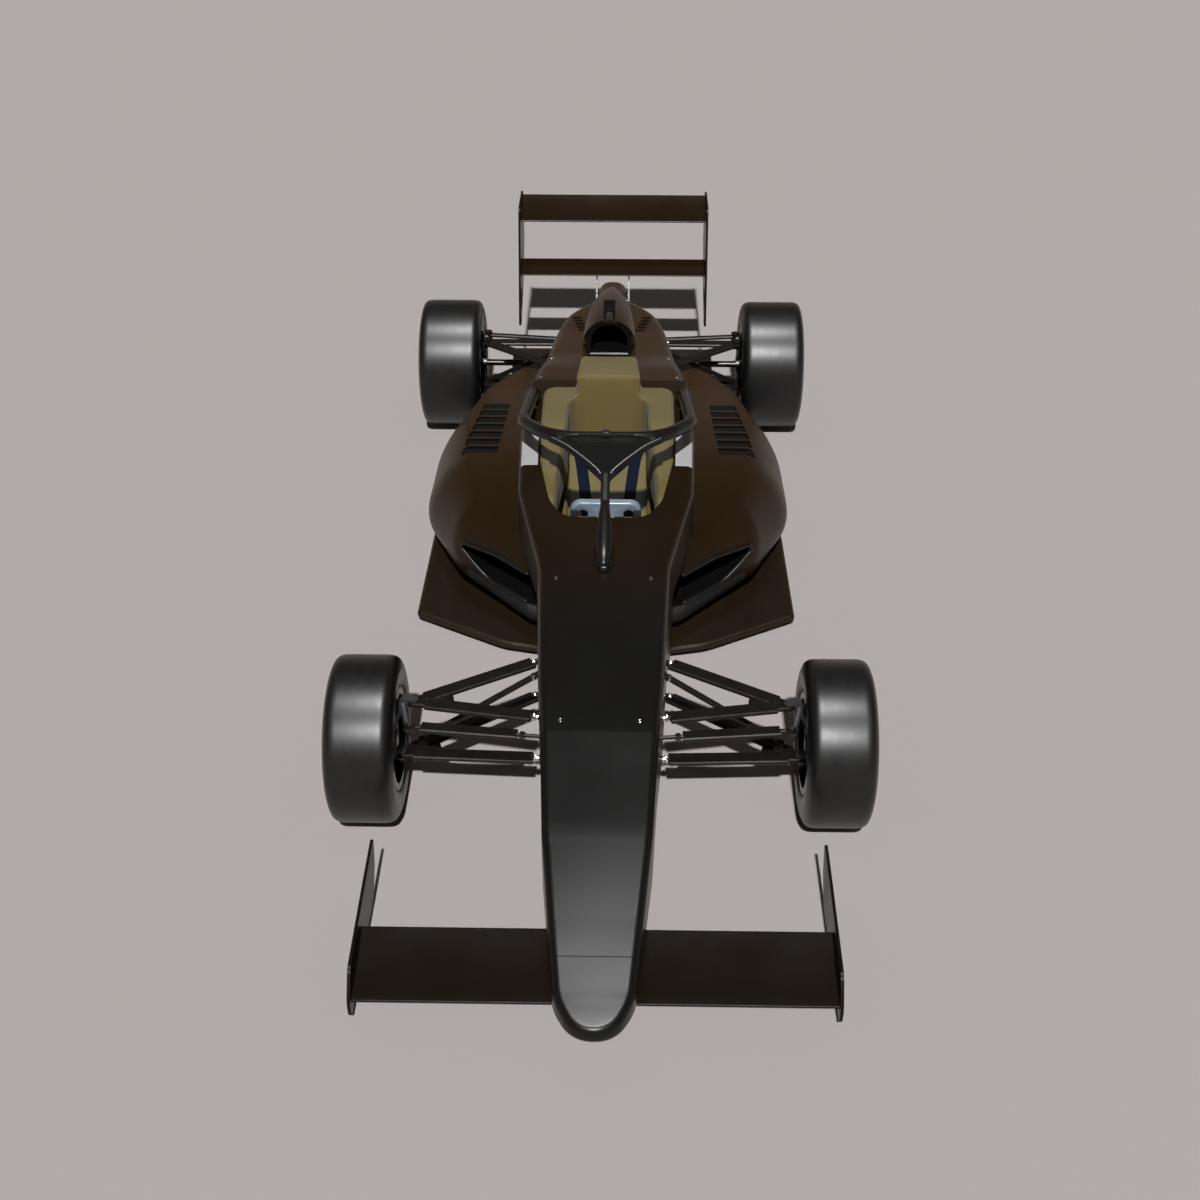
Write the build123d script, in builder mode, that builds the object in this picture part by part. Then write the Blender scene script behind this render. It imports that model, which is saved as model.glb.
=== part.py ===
"""Open wheel racing car with halo, as separate panels, wings, links, knuckles and wheels.

Millimetres. The nose points to -Y, +X is the car's left side and the wheels stand on z = 0.
A station is a distance behind the front axle. Tables of outlines give (station, half width or
height, corner radius) rows.
"""
import math
import os

from build123d import *

os.makedirs("parts", exist_ok=True)

# Overall sizes
WHEELBASE = 2925
FRONT_OVERHANG = 1256
REAR_OVERHANG = 870
FRONT_AXLE_Y = (FRONT_OVERHANG - WHEELBASE - REAR_OVERHANG) / 2
REAR = WHEELBASE

# Wheels: overall width over the tyres, tyre radius and width
FRONT_WIDTH = 1832
FRONT_TYRE_R = 288
FRONT_TYRE_W = 234
REAR_WIDTH = 1822
REAR_TYRE_R = 299
REAR_TYRE_W = 292
FRONT_WHEEL_X = (FRONT_WIDTH - FRONT_TYRE_W) / 2
REAR_WHEEL_X = (REAR_WIDTH - REAR_TYRE_W) / 2
RIM_SEAT_R = 168
RIM_BORE_R = 154
RIM_LIP = 9
TYRE_FIT = 0.2
SPOKE_COUNT = 10
SPOKE_W = 22
HUB_R = 46
STUB_R = 30
DISC_R = 124
DISC_T = 24
RUNNING_GAP = 0.3
CALIPER_GAP = 5

# Floor and ride height
PLANK_BOTTOM = 22
FLOOR_BOTTOM = 32
FLOOR_TOP = 56
PLANK_HALF = 150

# Monocoque
BULKHEAD = -250
TUB_END = 1985
DECK_Z = 430
COCKPIT_FLOOR = 95
COCKPIT_HALF = 222
LEDGE = 20
TUB_HALF = 265
TUB_TOP = 672
SURROUND_HALF = 345

# Steering
KINGPIN_LOW = (FRONT_WHEEL_X - 107, 6, 218)
KINGPIN_HIGH = (FRONT_WHEEL_X - 159, 22, 428)
BALL_RING_R = 19
BALL_RING_T = 18
BALL_PIN_R = 8
ARM_LENGTH = 120
TRACK_ROD_INNER = -150
TRACK_ROD_Z = 418
TRACK_ROD_R = 7
TRACK_ROD_CHORD = 50
TRACK_FAIRING_START = 42
TRACK_FAIRING_END = 276
RACK_END = 150
TRACK_ROD_HOLE_R = 30
COLUMN_TILT = 14
STEERING_WHEEL_AT = (1062, 548)

# Links
LINK_CHORD = 58
LINK_THICK = 16
LINK_NECK_R = 8
LINK_OVERLAP = 5
GUSSET_REACH = 150
GUSSET_T = 8

# Longer than anything it is cut from
FAR = 1000

# Wings
WING_SPAN_HALF = 732
FRONT_PLATE_T = 10
REAR_SPAN_HALF = 464
REAR_PLATE_T = 10
PYLON_X = 85
PYLON_T = 8


def y_at(station):
    """Y of a distance behind the front axle."""
    return FRONT_AXLE_Y + station


def save(piece, node):
    """Label a finished piece and write it."""
    piece.part.label = node
    export_step(piece.part, f"parts/{node}.step")


def plan_outline(rows):
    """Closed outline seen from above, mirrored about the centre line."""
    left = [(half, y_at(station)) for station, half, _ in rows]
    right = [(-half, y) for half, y in reversed(left)]
    radii = [radius for _, _, radius in rows]
    FilletPolyline(left + right, radius=radii + radii[::-1], close=True)


def half_outline(rows, side):
    """Closed outline seen from above, on one side of the car only."""
    points = [(side * half, y_at(station)) for station, half, _ in rows]
    FilletPolyline(points, radius=[radius for _, _, radius in rows], close=True)


def side_outline(rows):
    """Closed outline seen from the side."""
    points = [(y_at(station), height) for station, height, _ in rows]
    FilletPolyline(points, radius=[radius for _, _, radius in rows], close=True)


def across(edge):
    """True for a straight edge that runs straight across the car or straight up."""
    if edge.geom_type != GeomType.LINE:
        return False
    direction = edge % 0.5
    return abs(direction.X) > 0.999 or abs(direction.Z) > 0.999


def link(start, end, chord=LINK_CHORD, thick=LINK_THICK):
    """Flat link with round edges between two points, its chord along the air flow."""
    direction = Vector(*end) - Vector(*start)
    section = Plane(origin=start, x_dir=(0, 1, 0), z_dir=direction)
    with BuildSketch(section) as profile:
        SlotOverall(chord, thick)
    extrude(profile.sketch, amount=direction.length)


def rod(start, end, radius):
    """Round rod between two points."""
    direction = Vector(*end) - Vector(*start)
    with BuildSketch(Plane(origin=start, z_dir=direction)) as profile:
        Circle(radius)
    extrude(profile.sketch, amount=direction.length)


def place(side, half, station, height):
    """Point on one side of the car."""
    return (side * half, y_at(station), height)


# Nose cone: plan outline crossed with side outline, long edges rounded
NOSE_PLAN = [
    (BULKHEAD, 192, 0), (-630, 172, 900), (106 - FRONT_OVERHANG, 120, 200), (-FRONT_OVERHANG, 62, 100),
]
NOSE_SIDE = [
    (BULKHEAD, 527, 0), (-630, 440, 1500), (-915, 352, 1500), (126 - FRONT_OVERHANG, 281, 600),
    (-FRONT_OVERHANG, 242, 0), (-FRONT_OVERHANG, 184, 0), (-915, 182, 800), (BULKHEAD, 215, 0),
]
NOSE_ROUND = 27

with BuildPart() as nose_cone:
    with BuildSketch():
        with BuildLine():
            plan_outline(NOSE_PLAN)
        make_face()
    extrude(amount=1000)
    with BuildSketch(Plane.YZ):
        with BuildLine():
            side_outline(NOSE_SIDE)
        make_face()
    extrude(amount=1000, both=True, mode=Mode.INTERSECT)
    joint_face = nose_cone.faces().sort_by(Axis.Y)[-1]
    long_edges = [edge for edge in nose_cone.edges() - joint_face.edges() if not across(edge)]
    fillet(long_edges, NOSE_ROUND)
save(nose_cone, "nose_cone")


# Monocoque: lower tub, wider cockpit surround above it, open cockpit and foot well
TUB_PLAN = [
    (BULKHEAD, 192, 0), (0, 211, 900), (600, 240, 900), (900, TUB_HALF, 600), (TUB_END, TUB_HALF, 0),
]
SURROUND_PLAN = [(500, 215, 0), (1100, 340, 350), (1500, 354, 900), (TUB_END, SURROUND_HALF, 0)]
TUB_SIDE = [
    (BULKHEAD, 527, 0), (0, 560, 2000), (905, 635, 3000), (1640, 690, 1500), (TUB_END, TUB_TOP, 0),
    (TUB_END, FLOOR_TOP, 0), (900, FLOOR_TOP, 300), (450, 190, 300), (BULKHEAD, 215, 0),
]
OPENING_HALF = 272
OPENING_END = 1880
OPENING_PLAN = [
    (905, 158, 100), (1020, 216, 200), (1300, 264, 400), (1600, OPENING_HALF, 0), (OPENING_END, OPENING_HALF, 60),
]
HEADREST_SLOT_HALF = 134
HEADREST_SLOT_TAIL = 118
HEADREST_SLOT = [(OPENING_END - 80, HEADREST_SLOT_HALF, 0), (TUB_END, HEADREST_SLOT_TAIL, 0)]
CAVITY_PLAN = [(905, 145, 0), (1040, COCKPIT_HALF, 80), (OPENING_END, COCKPIT_HALF, 0)]
FOOT_WELL = [
    (960, COCKPIT_FLOOR, 0), (960, 500, 0), (0, 470, 60), (0, 245, 60), (450, 225, 200), (850, COCKPIT_FLOOR, 100),
]
FOOT_WELL_HALF = 145
TUB_ROUND = 30

with BuildPart() as surround_block:
    with BuildSketch(Plane.XY.offset(DECK_Z)):
        with BuildLine():
            plan_outline(SURROUND_PLAN)
        make_face()
    extrude(amount=FAR)

with BuildPart() as monocoque:
    with BuildSketch():
        with BuildLine():
            plan_outline(TUB_PLAN)
        make_face()
    extrude(amount=FAR)
    add(surround_block.part)
    with BuildSketch(Plane.YZ):
        with BuildLine():
            side_outline(TUB_SIDE)
        make_face()
    extrude(amount=FAR, both=True, mode=Mode.INTERSECT)
    ends = monocoque.faces().filter_by(Axis.Y)
    end_edges = [edge for face in ends for edge in face.edges()]
    rim_edges = [
        edge for edge in monocoque.edges()
        if not across(edge) and edge not in end_edges and edge.center().Z > 500
    ]
    fillet(rim_edges, TUB_ROUND)
    with BuildSketch(Plane.XY.offset(DECK_Z + LEDGE)):
        with BuildLine():
            plan_outline(OPENING_PLAN)
        make_face()
        with BuildLine():
            plan_outline(HEADREST_SLOT)
        make_face()
    extrude(amount=FAR, mode=Mode.SUBTRACT)
    with BuildSketch(Plane.XY.offset(COCKPIT_FLOOR)):
        with BuildLine():
            plan_outline(CAVITY_PLAN)
        make_face()
    extrude(amount=DECK_Z + LEDGE - COCKPIT_FLOOR, mode=Mode.SUBTRACT)
    with BuildSketch(Plane.YZ):
        with BuildLine():
            side_outline(FOOT_WELL)
        make_face()
    extrude(amount=FOOT_WELL_HALF, both=True, mode=Mode.SUBTRACT)
    with BuildSketch(Plane.YZ):
        with Locations((y_at(TRACK_ROD_INNER), TRACK_ROD_Z)):
            Circle(TRACK_ROD_HOLE_R)
    extrude(amount=FAR, both=True, mode=Mode.SUBTRACT)
save(monocoque, "monocoque")

# Floor, with the plank under it and the diffuser behind it
FLOOR_END = REAR - 235
FLOOR_PLAN = [
    (872, 250, 60), (905, 400, 250), (1116, 766, 30), (1700, 758, 900), (REAR - 595, 742, 120),
    (REAR - 365, 572, 120), (FLOOR_END, 545, 0),
]
FLOOR_EDGE = 16
PLANK_PLAN = [(960, 90, 60), (1080, PLANK_HALF, 60), (FLOOR_END, PLANK_HALF, 0)]
DIFFUSER_END = REAR + 360
DIFFUSER_HALF = 500
DIFFUSER_RISE = 150
STRAKE_XS = (-494, -330, -165, 165, 330, 494)
STRAKE_T = 8

with BuildPart() as floor_pan:
    with BuildSketch(Plane.XY.offset(FLOOR_BOTTOM)):
        with BuildLine():
            plan_outline(FLOOR_PLAN)
        make_face()
    extrude(amount=FLOOR_TOP - FLOOR_BOTTOM)
    lip_edges = floor_pan.edges().group_by(Axis.Z)[-1].filter_by(lambda edge: edge.center().Y < y_at(2200))
    fillet(lip_edges, FLOOR_EDGE)
save(floor_pan, "floor_pan")

with BuildPart() as skid_plank:
    with BuildSketch(Plane.XY.offset(PLANK_BOTTOM)):
        with BuildLine():
            plan_outline(PLANK_PLAN)
        make_face()
    extrude(amount=FLOOR_BOTTOM - PLANK_BOTTOM)
save(skid_plank, "skid_plank")

DIFFUSER_ROOF = [
    (FLOOR_END, FLOOR_BOTTOM, 0), (FLOOR_END, FLOOR_TOP, 0), (DIFFUSER_END, FLOOR_TOP + DIFFUSER_RISE, 0),
    (DIFFUSER_END, FLOOR_TOP + DIFFUSER_RISE - 16, 0),
]
DIFFUSER_STRAKE = [
    (FLOOR_END, FLOOR_BOTTOM, 0), (FLOOR_END, FLOOR_TOP, 0), (DIFFUSER_END, FLOOR_TOP + DIFFUSER_RISE, 0),
    (DIFFUSER_END, FLOOR_BOTTOM + 40, 40),
]
with BuildPart() as diffuser:
    with BuildSketch(Plane.YZ):
        with BuildLine():
            side_outline(DIFFUSER_ROOF)
        make_face()
    extrude(amount=DIFFUSER_HALF, both=True)
    for strake_x in STRAKE_XS:
        with BuildSketch(Plane.YZ.offset(strake_x)):
            with BuildLine():
                side_outline(DIFFUSER_STRAKE)
            make_face()
        extrude(amount=STRAKE_T / 2, both=True)
save(diffuser, "diffuser")

# Engine cover: low deck that narrows to the tail, with the air intake's spine on top
COVER_END = REAR + 640
COVER_PLAN = [
    (TUB_END, SURROUND_HALF, 0), (REAR - 475, 298, 900), (REAR - 25, 262, 500), (REAR + 185, 225, 400),
    (REAR + 425, 76, 120), (COVER_END, 72, 0),
]
COVER_SIDE = [
    (TUB_END, TUB_TOP, 0), (TUB_END + 215, 638, 900), (REAR - 475, 566, 900), (REAR - 55, 505, 900),
    (REAR + 525, 462, 300), (COVER_END, 448, 0), (COVER_END, 398, 0), (REAR + 325, 385, 60), (REAR + 175, 262, 60),
    (REAR - 325, 330, 300), (TUB_END, DECK_Z, 0),
]
# Intake spine sections: station, half width, top
SPINE = [(TUB_END, 112, 952), (TUB_END + 315, 98, 908), (REAR - 175, 62, 765), (REAR + 325, 22, 560)]
COVER_CHANNEL = [
    (TUB_END, 0, 0), (TUB_END, 425, 0), (REAR - 225, 415, 0), (REAR + 325, 372, 0), (REAR + 325, 0, 0),
]
CHANNEL_HALF = 150
COVER_ROUND = 60
INTAKE_HALF = 76
INTAKE_TOP = 922
INTAKE_FLOOR = 800
INTAKE_DEPTH = 260
INTAKE_LIP = 14
SHAFT_HOLE_R = 46

with BuildPart() as engine_cover:
    with BuildSketch():
        with BuildLine():
            plan_outline(COVER_PLAN)
        make_face()
    extrude(amount=FAR)
    with BuildSketch(Plane.YZ):
        with BuildLine():
            side_outline(COVER_SIDE)
        make_face()
    extrude(amount=FAR, both=True, mode=Mode.INTERSECT)
    ends = engine_cover.faces().filter_by(Axis.Y)
    end_edges = [edge for face in ends for edge in face.edges()]
    deck_edges = [
        edge for edge in engine_cover.edges()
        if not across(edge) and edge not in end_edges and edge.center().Z > 420
    ]
    fillet(deck_edges, COVER_ROUND)
    for station, half, top in SPINE:
        with BuildSketch(Plane.XZ.offset(-y_at(station))):
            with BuildLine():
                arch = [(-half, DECK_Z), (-half, top - half), (half, top - half), (half, DECK_Z)]
                Line(arch[1], arch[0])
                Line(arch[0], arch[3])
                Line(arch[3], arch[2])
                ThreePointArc(arch[2], (0, top), arch[1])
            make_face()
    loft()
    with BuildSketch(Plane.XZ.offset(-y_at(TUB_END))):
        with BuildLine():
            base = INTAKE_TOP - INTAKE_HALF
            Line((-INTAKE_HALF, base), (-INTAKE_HALF, INTAKE_FLOOR))
            Line((-INTAKE_HALF, INTAKE_FLOOR), (INTAKE_HALF, INTAKE_FLOOR))
            Line((INTAKE_HALF, INTAKE_FLOOR), (INTAKE_HALF, base))
            ThreePointArc((INTAKE_HALF, base), (0, INTAKE_TOP), (-INTAKE_HALF, base))
        make_face()
    extrude(amount=-INTAKE_DEPTH, mode=Mode.SUBTRACT)
    mouth_edges = [
        edge for edge in engine_cover.edges().group_by(Axis.Y)[0]
        if edge.bounding_box().min.Z > INTAKE_FLOOR - 1 and edge.bounding_box().max.Z < INTAKE_TOP + 1
    ]
    fillet(mouth_edges, INTAKE_LIP)
    with BuildSketch(Plane.YZ):
        with BuildLine():
            side_outline(COVER_CHANNEL)
        make_face()
    extrude(amount=CHANNEL_HALF, both=True, mode=Mode.SUBTRACT)
    with BuildSketch(Plane.YZ):
        with Locations((y_at(REAR), REAR_TYRE_R)):
            Circle(SHAFT_HOLE_R)
    extrude(amount=FAR, both=True, mode=Mode.SUBTRACT)
save(engine_cover, "engine_cover")


# Sidepods: plan outlines stacked from the floor up, trimmed by a top line, with an air duct in front
POD_LEVELS = [
    (FLOOR_TOP, [
        (1120, TUB_HALF, 0), (1140, 300, 30), (1490, 520, 250), (1750, 630, 400), (2050, 640, 500),
        (REAR - 545, 540, 400), (REAR - 335, 300, 120), (REAR - 295, TUB_HALF, 0),
    ]),
    (290, [
        (935, TUB_HALF, 0), (950, 300, 30), (1240, 612, 150), (1600, 752, 400), (2050, 740, 800),
        (REAR - 384, 605, 600), (REAR + 45, 310, 300), (REAR + 120, TUB_HALF, 0),
    ]),
    (400, [
        (975, TUB_HALF, 0), (990, 300, 30), (1260, 585, 140), (1600, 690, 400), (2050, 670, 800),
        (REAR - 445, 545, 600), (REAR + 35, 300, 300), (REAR + 115, TUB_HALF, 0),
    ]),
    (480, [
        (1030, TUB_HALF, 0), (1045, 300, 30), (1290, 500, 120), (1600, 575, 400), (2050, 550, 800),
        (REAR - 505, 440, 500), (REAR - 125, 295, 200), (REAR - 65, TUB_HALF, 0),
    ]),
]
POD_FRONT = 900
POD_BACK = REAR + 175
POD_TOP = [
    (POD_FRONT, 440, 0), (1250, 472, 900), (1700, 478, 900), (2100, 430, 900), (REAR - 425, 372, 900),
    (POD_BACK, 300, 0), (POD_BACK, 0, 0), (POD_FRONT, 0, 0),
]
# Inlet seen from the front: half width, height, corner radius
INLET = [
    (TUB_HALF, 222, 0), (TUB_HALF, 338, 0), (430, 350, 200), (590, 328, 12), (578, 292, 24), (470, 222, 80),
]
DUCT_FRONT = 880
DUCT_BACK = 1620
RADIATOR_AT = 1500
# Louvres: front and back rows as station, inner and outer half width, and the height of the pod there
LOUVRE_FRONT = (1690, 466, 618, 470)
LOUVRE_BACK = (2300, 446, 562, 404)
LOUVRE_PLAN = [
    (LOUVRE_FRONT[0], LOUVRE_FRONT[1], 0), (LOUVRE_FRONT[0], LOUVRE_FRONT[2], 0),
    (LOUVRE_BACK[0], LOUVRE_BACK[2], 0), (LOUVRE_BACK[0], LOUVRE_BACK[1], 0),
]
LOUVRE_COUNT = 7
LOUVRE_OPEN = 0.76
LOUVRE_DEPTH = 40
LOUVRE_EDGE = 4
RADIATOR_T = 60
SIDES = ((1, "left"), (-1, "right"))


def louvre_outline(row):
    """One louvre seen from the side: deep in front, and running out to the pod's surface behind."""
    pitch = (LOUVRE_BACK[0] - LOUVRE_FRONT[0]) / LOUVRE_COUNT
    fall = (LOUVRE_BACK[3] - LOUVRE_FRONT[3]) / (LOUVRE_BACK[0] - LOUVRE_FRONT[0])
    front = LOUVRE_FRONT[0] + row * pitch
    back = front + LOUVRE_OPEN * pitch
    low = LOUVRE_FRONT[3] + (front - LOUVRE_FRONT[0]) * fall - LOUVRE_DEPTH
    high = LOUVRE_FRONT[3] + LOUVRE_DEPTH
    run_out = LOUVRE_FRONT[3] + (back - LOUVRE_FRONT[0]) * fall - LOUVRE_EDGE
    side_outline([(front, low, 0), (front, high, 0), (back, high, 0), (back, run_out, 0)])


radiator_solids = []
sidepod_parts = []
for side, side_name in SIDES:
    with BuildPart() as duct:
        with BuildSketch(Plane.XZ.offset(-y_at(DUCT_FRONT))):
            with BuildLine():
                corners = [(side * half, height) for half, height, _ in INLET]
                FilletPolyline(corners, radius=[radius for _, _, radius in INLET], close=True)
            make_face()
        extrude(amount=DUCT_FRONT - DUCT_BACK)
    with BuildPart() as louvres:
        with BuildSketch(Plane.YZ.offset(side * LOUVRE_BACK[1])):
            for row in range(LOUVRE_COUNT):
                with BuildLine():
                    louvre_outline(row)
                make_face()
        extrude(amount=side * (LOUVRE_FRONT[2] - LOUVRE_BACK[1]))
        with BuildSketch():
            with BuildLine():
                half_outline(LOUVRE_PLAN, side)
            make_face()
        extrude(amount=FAR, mode=Mode.INTERSECT)
    with BuildPart() as sidepod:
        for height, rows in POD_LEVELS:
            with BuildSketch(Plane.XY.offset(height)):
                with BuildLine():
                    half_outline(rows, side)
                make_face()
        loft()
        with BuildSketch(Plane.YZ):
            with BuildLine():
                side_outline(POD_TOP)
            make_face()
        extrude(amount=FAR, both=True, mode=Mode.INTERSECT)
        add(surround_block.part, mode=Mode.SUBTRACT)
        add(engine_cover.part, mode=Mode.SUBTRACT)
        add(duct.part, mode=Mode.SUBTRACT)
        add(louvres.part, mode=Mode.SUBTRACT)
        with BuildSketch(Plane.YZ):
            with Locations((y_at(REAR), REAR_TYRE_R)):
                Circle(SHAFT_HOLE_R)
        extrude(amount=FAR, both=True, mode=Mode.SUBTRACT)
    sidepod_parts.append(sidepod.part)
    save(sidepod, f"sidepod_{side_name}")
    with BuildPart() as core:
        add(duct.part)
        with BuildSketch(Plane.XZ.offset(-y_at(RADIATOR_AT))):
            Rectangle(2 * FAR, 2 * FAR)
        extrude(amount=RADIATOR_T / 2, both=True, mode=Mode.INTERSECT)
    radiator_solids.append(core.part)

with BuildPart() as radiators:
    for core_solid in radiator_solids:
        add(core_solid)
save(radiators, "radiators")

# Camera pod on the intake
CAMERA_POD = [(2000, 930, 0), (2010, 990, 18), (2060, 1000, 30), (2120, 985, 20), (2130, 930, 0)]
CAMERA_POD_HALF = 24
with BuildPart() as camera_pod:
    with BuildSketch(Plane.YZ):
        with BuildLine():
            side_outline(CAMERA_POD)
        make_face()
    extrude(amount=CAMERA_POD_HALF, both=True)
    add(engine_cover.part, mode=Mode.SUBTRACT)
save(camera_pod, "camera_pod")

# Halo: hoop swept in a plane that rises to the front, web plate and curved pillar
HALO_REAR = (1770, 716)
HALO_FRONT = (1130, 852)
HALO_TUBE_R = 26
HALO_FOOT_R = 36
HALO_FOOT_X = 313
# Hoop corners: half width and share of the way from the feet to the front
HOOP_CORNERS = [(HALO_FOOT_X, 0), (332, 0.66), (205, 1.0)]
HOOP_BEND = 210
PILLAR_HALF = 17
PILLAR = [
    (560, 560, 0), (560, 632, 30), (700, 690, 150), (1000, 812, 300), (1118, 846, 0), (1140, 836, 0),
    (1020, 762, 300), (800, 672, 300), (700, 560, 0),
]
# Root of the pillar at the tub and where it has run out: height and plan outline
PILLAR_ROOT = (
    (590, [(560, 24, 20), (600, 52, 40), (700, 50, 60), (830, 24, 5)]),
    (668, [(600, 10, 5), (625, 15, 10), (705, 16.5, 60), (830, 14, 5)]),
)
HALO_FOOT_DROP = 60
HALO_FOOT_HEIGHT = 70
HALO_BALL = 3
WEB_HALF = 200
WEB_APEX = (985, 770)
WEB_TAIL = 40
WEB_T = 18

halo_rise = Vector(0, HALO_FRONT[0] - HALO_REAR[0], HALO_FRONT[1] - HALO_REAR[1])
hoop_plane = Plane(
    origin=(0, y_at(HALO_REAR[0]), HALO_REAR[1]), x_dir=(1, 0, 0), z_dir=Vector(1, 0, 0).cross(halo_rise)
)
web_rise = Vector(0, HALO_FRONT[0] - WEB_APEX[0], HALO_FRONT[1] - WEB_APEX[1])
web_plane = Plane(
    origin=(0, y_at(WEB_APEX[0]), WEB_APEX[1]), x_dir=(1, 0, 0), z_dir=Vector(1, 0, 0).cross(web_rise)
)
with BuildPart() as halo:
    with BuildLine(hoop_plane) as hoop:
        corners = [(half, share * halo_rise.length) for half, share in HOOP_CORNERS]
        FilletPolyline(corners + [(-half, way) for half, way in reversed(corners)], radius=HOOP_BEND)
    with BuildSketch(Plane(origin=hoop.line @ 0, z_dir=hoop.line % 0)):
        Circle(HALO_TUBE_R)
    sweep(path=hoop.line)
    with BuildSketch(Plane.XY.offset(HALO_REAR[1] - HALO_FOOT_DROP)):
        with Locations((HALO_FOOT_X, y_at(HALO_REAR[0])), (-HALO_FOOT_X, y_at(HALO_REAR[0]))):
            Circle(HALO_FOOT_R)
    extrude(amount=HALO_FOOT_HEIGHT)
    with Locations(place(1, HALO_FOOT_X, *HALO_REAR), place(-1, HALO_FOOT_X, *HALO_REAR)):
        Sphere(HALO_TUBE_R + HALO_BALL)
    with BuildSketch(Plane.YZ):
        with BuildLine():
            side_outline(PILLAR)
        make_face()
    extrude(amount=PILLAR_HALF, both=True)
    for height, rows in PILLAR_ROOT:
        with BuildSketch(Plane.XY.offset(height)):
            with BuildLine():
                plan_outline(rows)
            make_face()
    loft()
    with BuildSketch(web_plane):
        with BuildLine():
            Polyline((0, -WEB_TAIL), (WEB_HALF, web_rise.length), (-WEB_HALF, web_rise.length), close=True)
        make_face()
    extrude(amount=WEB_T / 2, both=True)
    add(monocoque.part, mode=Mode.SUBTRACT)
save(halo, "halo")

# Headrest: horseshoe pad with a raised middle, on the cockpit's ledge
HEADREST_FRONT = 1552
HEADREST_TOP = 704
HEADREST_BLOCK_TOP = 792
HEADREST_FIT = 1
HEADREST_TIP = 1085
HEADREST_SIDE = [
    (HEADREST_TIP, DECK_Z + LEDGE, 0), (HEADREST_TIP, 596, 30), (HEADREST_FRONT, HEADREST_TOP, 200),
    (TUB_END, HEADREST_TOP, 0), (TUB_END, DECK_Z + LEDGE, 0),
]
HEADREST_HOLE_END = 1800
HEADREST_HOLE = [
    (HEADREST_TIP - 50, 196, 0), (1250, 196, 200), (HEADREST_FRONT, 168, 200), (HEADREST_HOLE_END, 168, 90),
]
HEADREST_BLOCK = [
    (HEADREST_FRONT + 100, HEADREST_SLOT_HALF - HEADREST_FIT, 0),
    (HEADREST_SLOT[0][0], HEADREST_SLOT_HALF - HEADREST_FIT, 0),
    (TUB_END - HEADREST_FIT, HEADREST_SLOT_TAIL - HEADREST_FIT, 0),
]
with BuildPart() as headrest:
    with BuildSketch(Plane.XY.offset(DECK_Z + LEDGE)):
        with BuildLine():
            plan_outline(OPENING_PLAN)
        make_face()
        offset(amount=-HEADREST_FIT)
    extrude(amount=FAR)
    with BuildSketch(Plane.YZ):
        with BuildLine():
            side_outline(HEADREST_SIDE)
        make_face()
    extrude(amount=FAR, both=True, mode=Mode.INTERSECT)
    with BuildSketch(Plane.XY.offset(DECK_Z + LEDGE)):
        with BuildLine():
            plan_outline(HEADREST_BLOCK)
        make_face()
    extrude(amount=HEADREST_BLOCK_TOP - DECK_Z - LEDGE)
    with BuildSketch(Plane.XY.offset(DECK_Z)):
        with BuildLine():
            plan_outline(HEADREST_HOLE)
        make_face()
    extrude(amount=FAR, mode=Mode.SUBTRACT)
save(headrest, "headrest")

# Seat: reclined bucket between the cockpit walls, hollowed for the driver
SEAT_HALF = COCKPIT_HALF - 2
SEAT_SIDE = [
    (1080, COCKPIT_FLOOR, 0), (1080, 230, 40), (1500, 330, 200), (1700, 448, 60), (1876, 448, 0),
    (1876, COCKPIT_FLOOR, 0),
]
SEAT_HOLLOW = [
    (1000, 260, 0), (1090, 210, 30), (1330, 150, 120), (1480, 160, 120), (1700, 400, 200), (1760, 470, 0),
    (1000, 600, 0),
]
SEAT_HOLLOW_HALF = 172
with BuildPart() as seat:
    with BuildSketch(Plane.YZ):
        with BuildLine():
            side_outline(SEAT_SIDE)
        make_face()
    extrude(amount=SEAT_HALF, both=True)
    with BuildSketch(Plane.YZ):
        with BuildLine():
            side_outline(SEAT_HOLLOW)
        make_face()
    extrude(amount=SEAT_HOLLOW_HALF, both=True, mode=Mode.SUBTRACT)
save(seat, "seat")

# Shoulder belts lying on the seat back
BELT_PLAN = [(1390, 12, 0), (1390, 62, 0), (1760, 138, 0), (1760, 88, 0)]
BELT_SIDE = [
    (1400, 150, 0), (1400, 156, 0), (1478, 166, 114), (1696, 404, 194), (1742, 456, 0), (1747, 452, 0),
    (1700, 400, 200), (1480, 160, 120),
]
with BuildPart() as seat_belts:
    for side, side_name in SIDES:
        with BuildSketch():
            with BuildLine():
                half_outline(BELT_PLAN, side)
            make_face()
        extrude(amount=FAR)
    with BuildSketch(Plane.YZ):
        with BuildLine():
            side_outline(BELT_SIDE)
        make_face()
    extrude(amount=COCKPIT_HALF, both=True, mode=Mode.INTERSECT)
    add(seat.part, mode=Mode.SUBTRACT)
save(seat_belts, "seat_belts")

# Steering column and steering wheel, square to the column
column_axis = Vector(0, math.cos(math.radians(COLUMN_TILT)), math.sin(math.radians(COLUMN_TILT)))
wheel_centre = Vector(0, y_at(STEERING_WHEEL_AT[0]), STEERING_WHEEL_AT[1])
COLUMN_LENGTH = 190
COLUMN_R = 17
STEERING_WHEEL_W = 272
STEERING_WHEEL_H = 164
STEERING_WHEEL_T = 30
STEERING_WHEEL_CORNER = 46
STEERING_WHEEL_ROUND = 8
GRIP_HOLE = (96, 40)
GRIP_HOLE_X = 88
BOSS_R = 30
BOSS_LENGTH = 30
with BuildPart() as steering_column:
    boss_start = wheel_centre - column_axis * (STEERING_WHEEL_T / 2 + BOSS_LENGTH + RUNNING_GAP)
    rod(boss_start, boss_start - column_axis * COLUMN_LENGTH, COLUMN_R)
    add(monocoque.part, mode=Mode.SUBTRACT)
save(steering_column, "steering_column")

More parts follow.
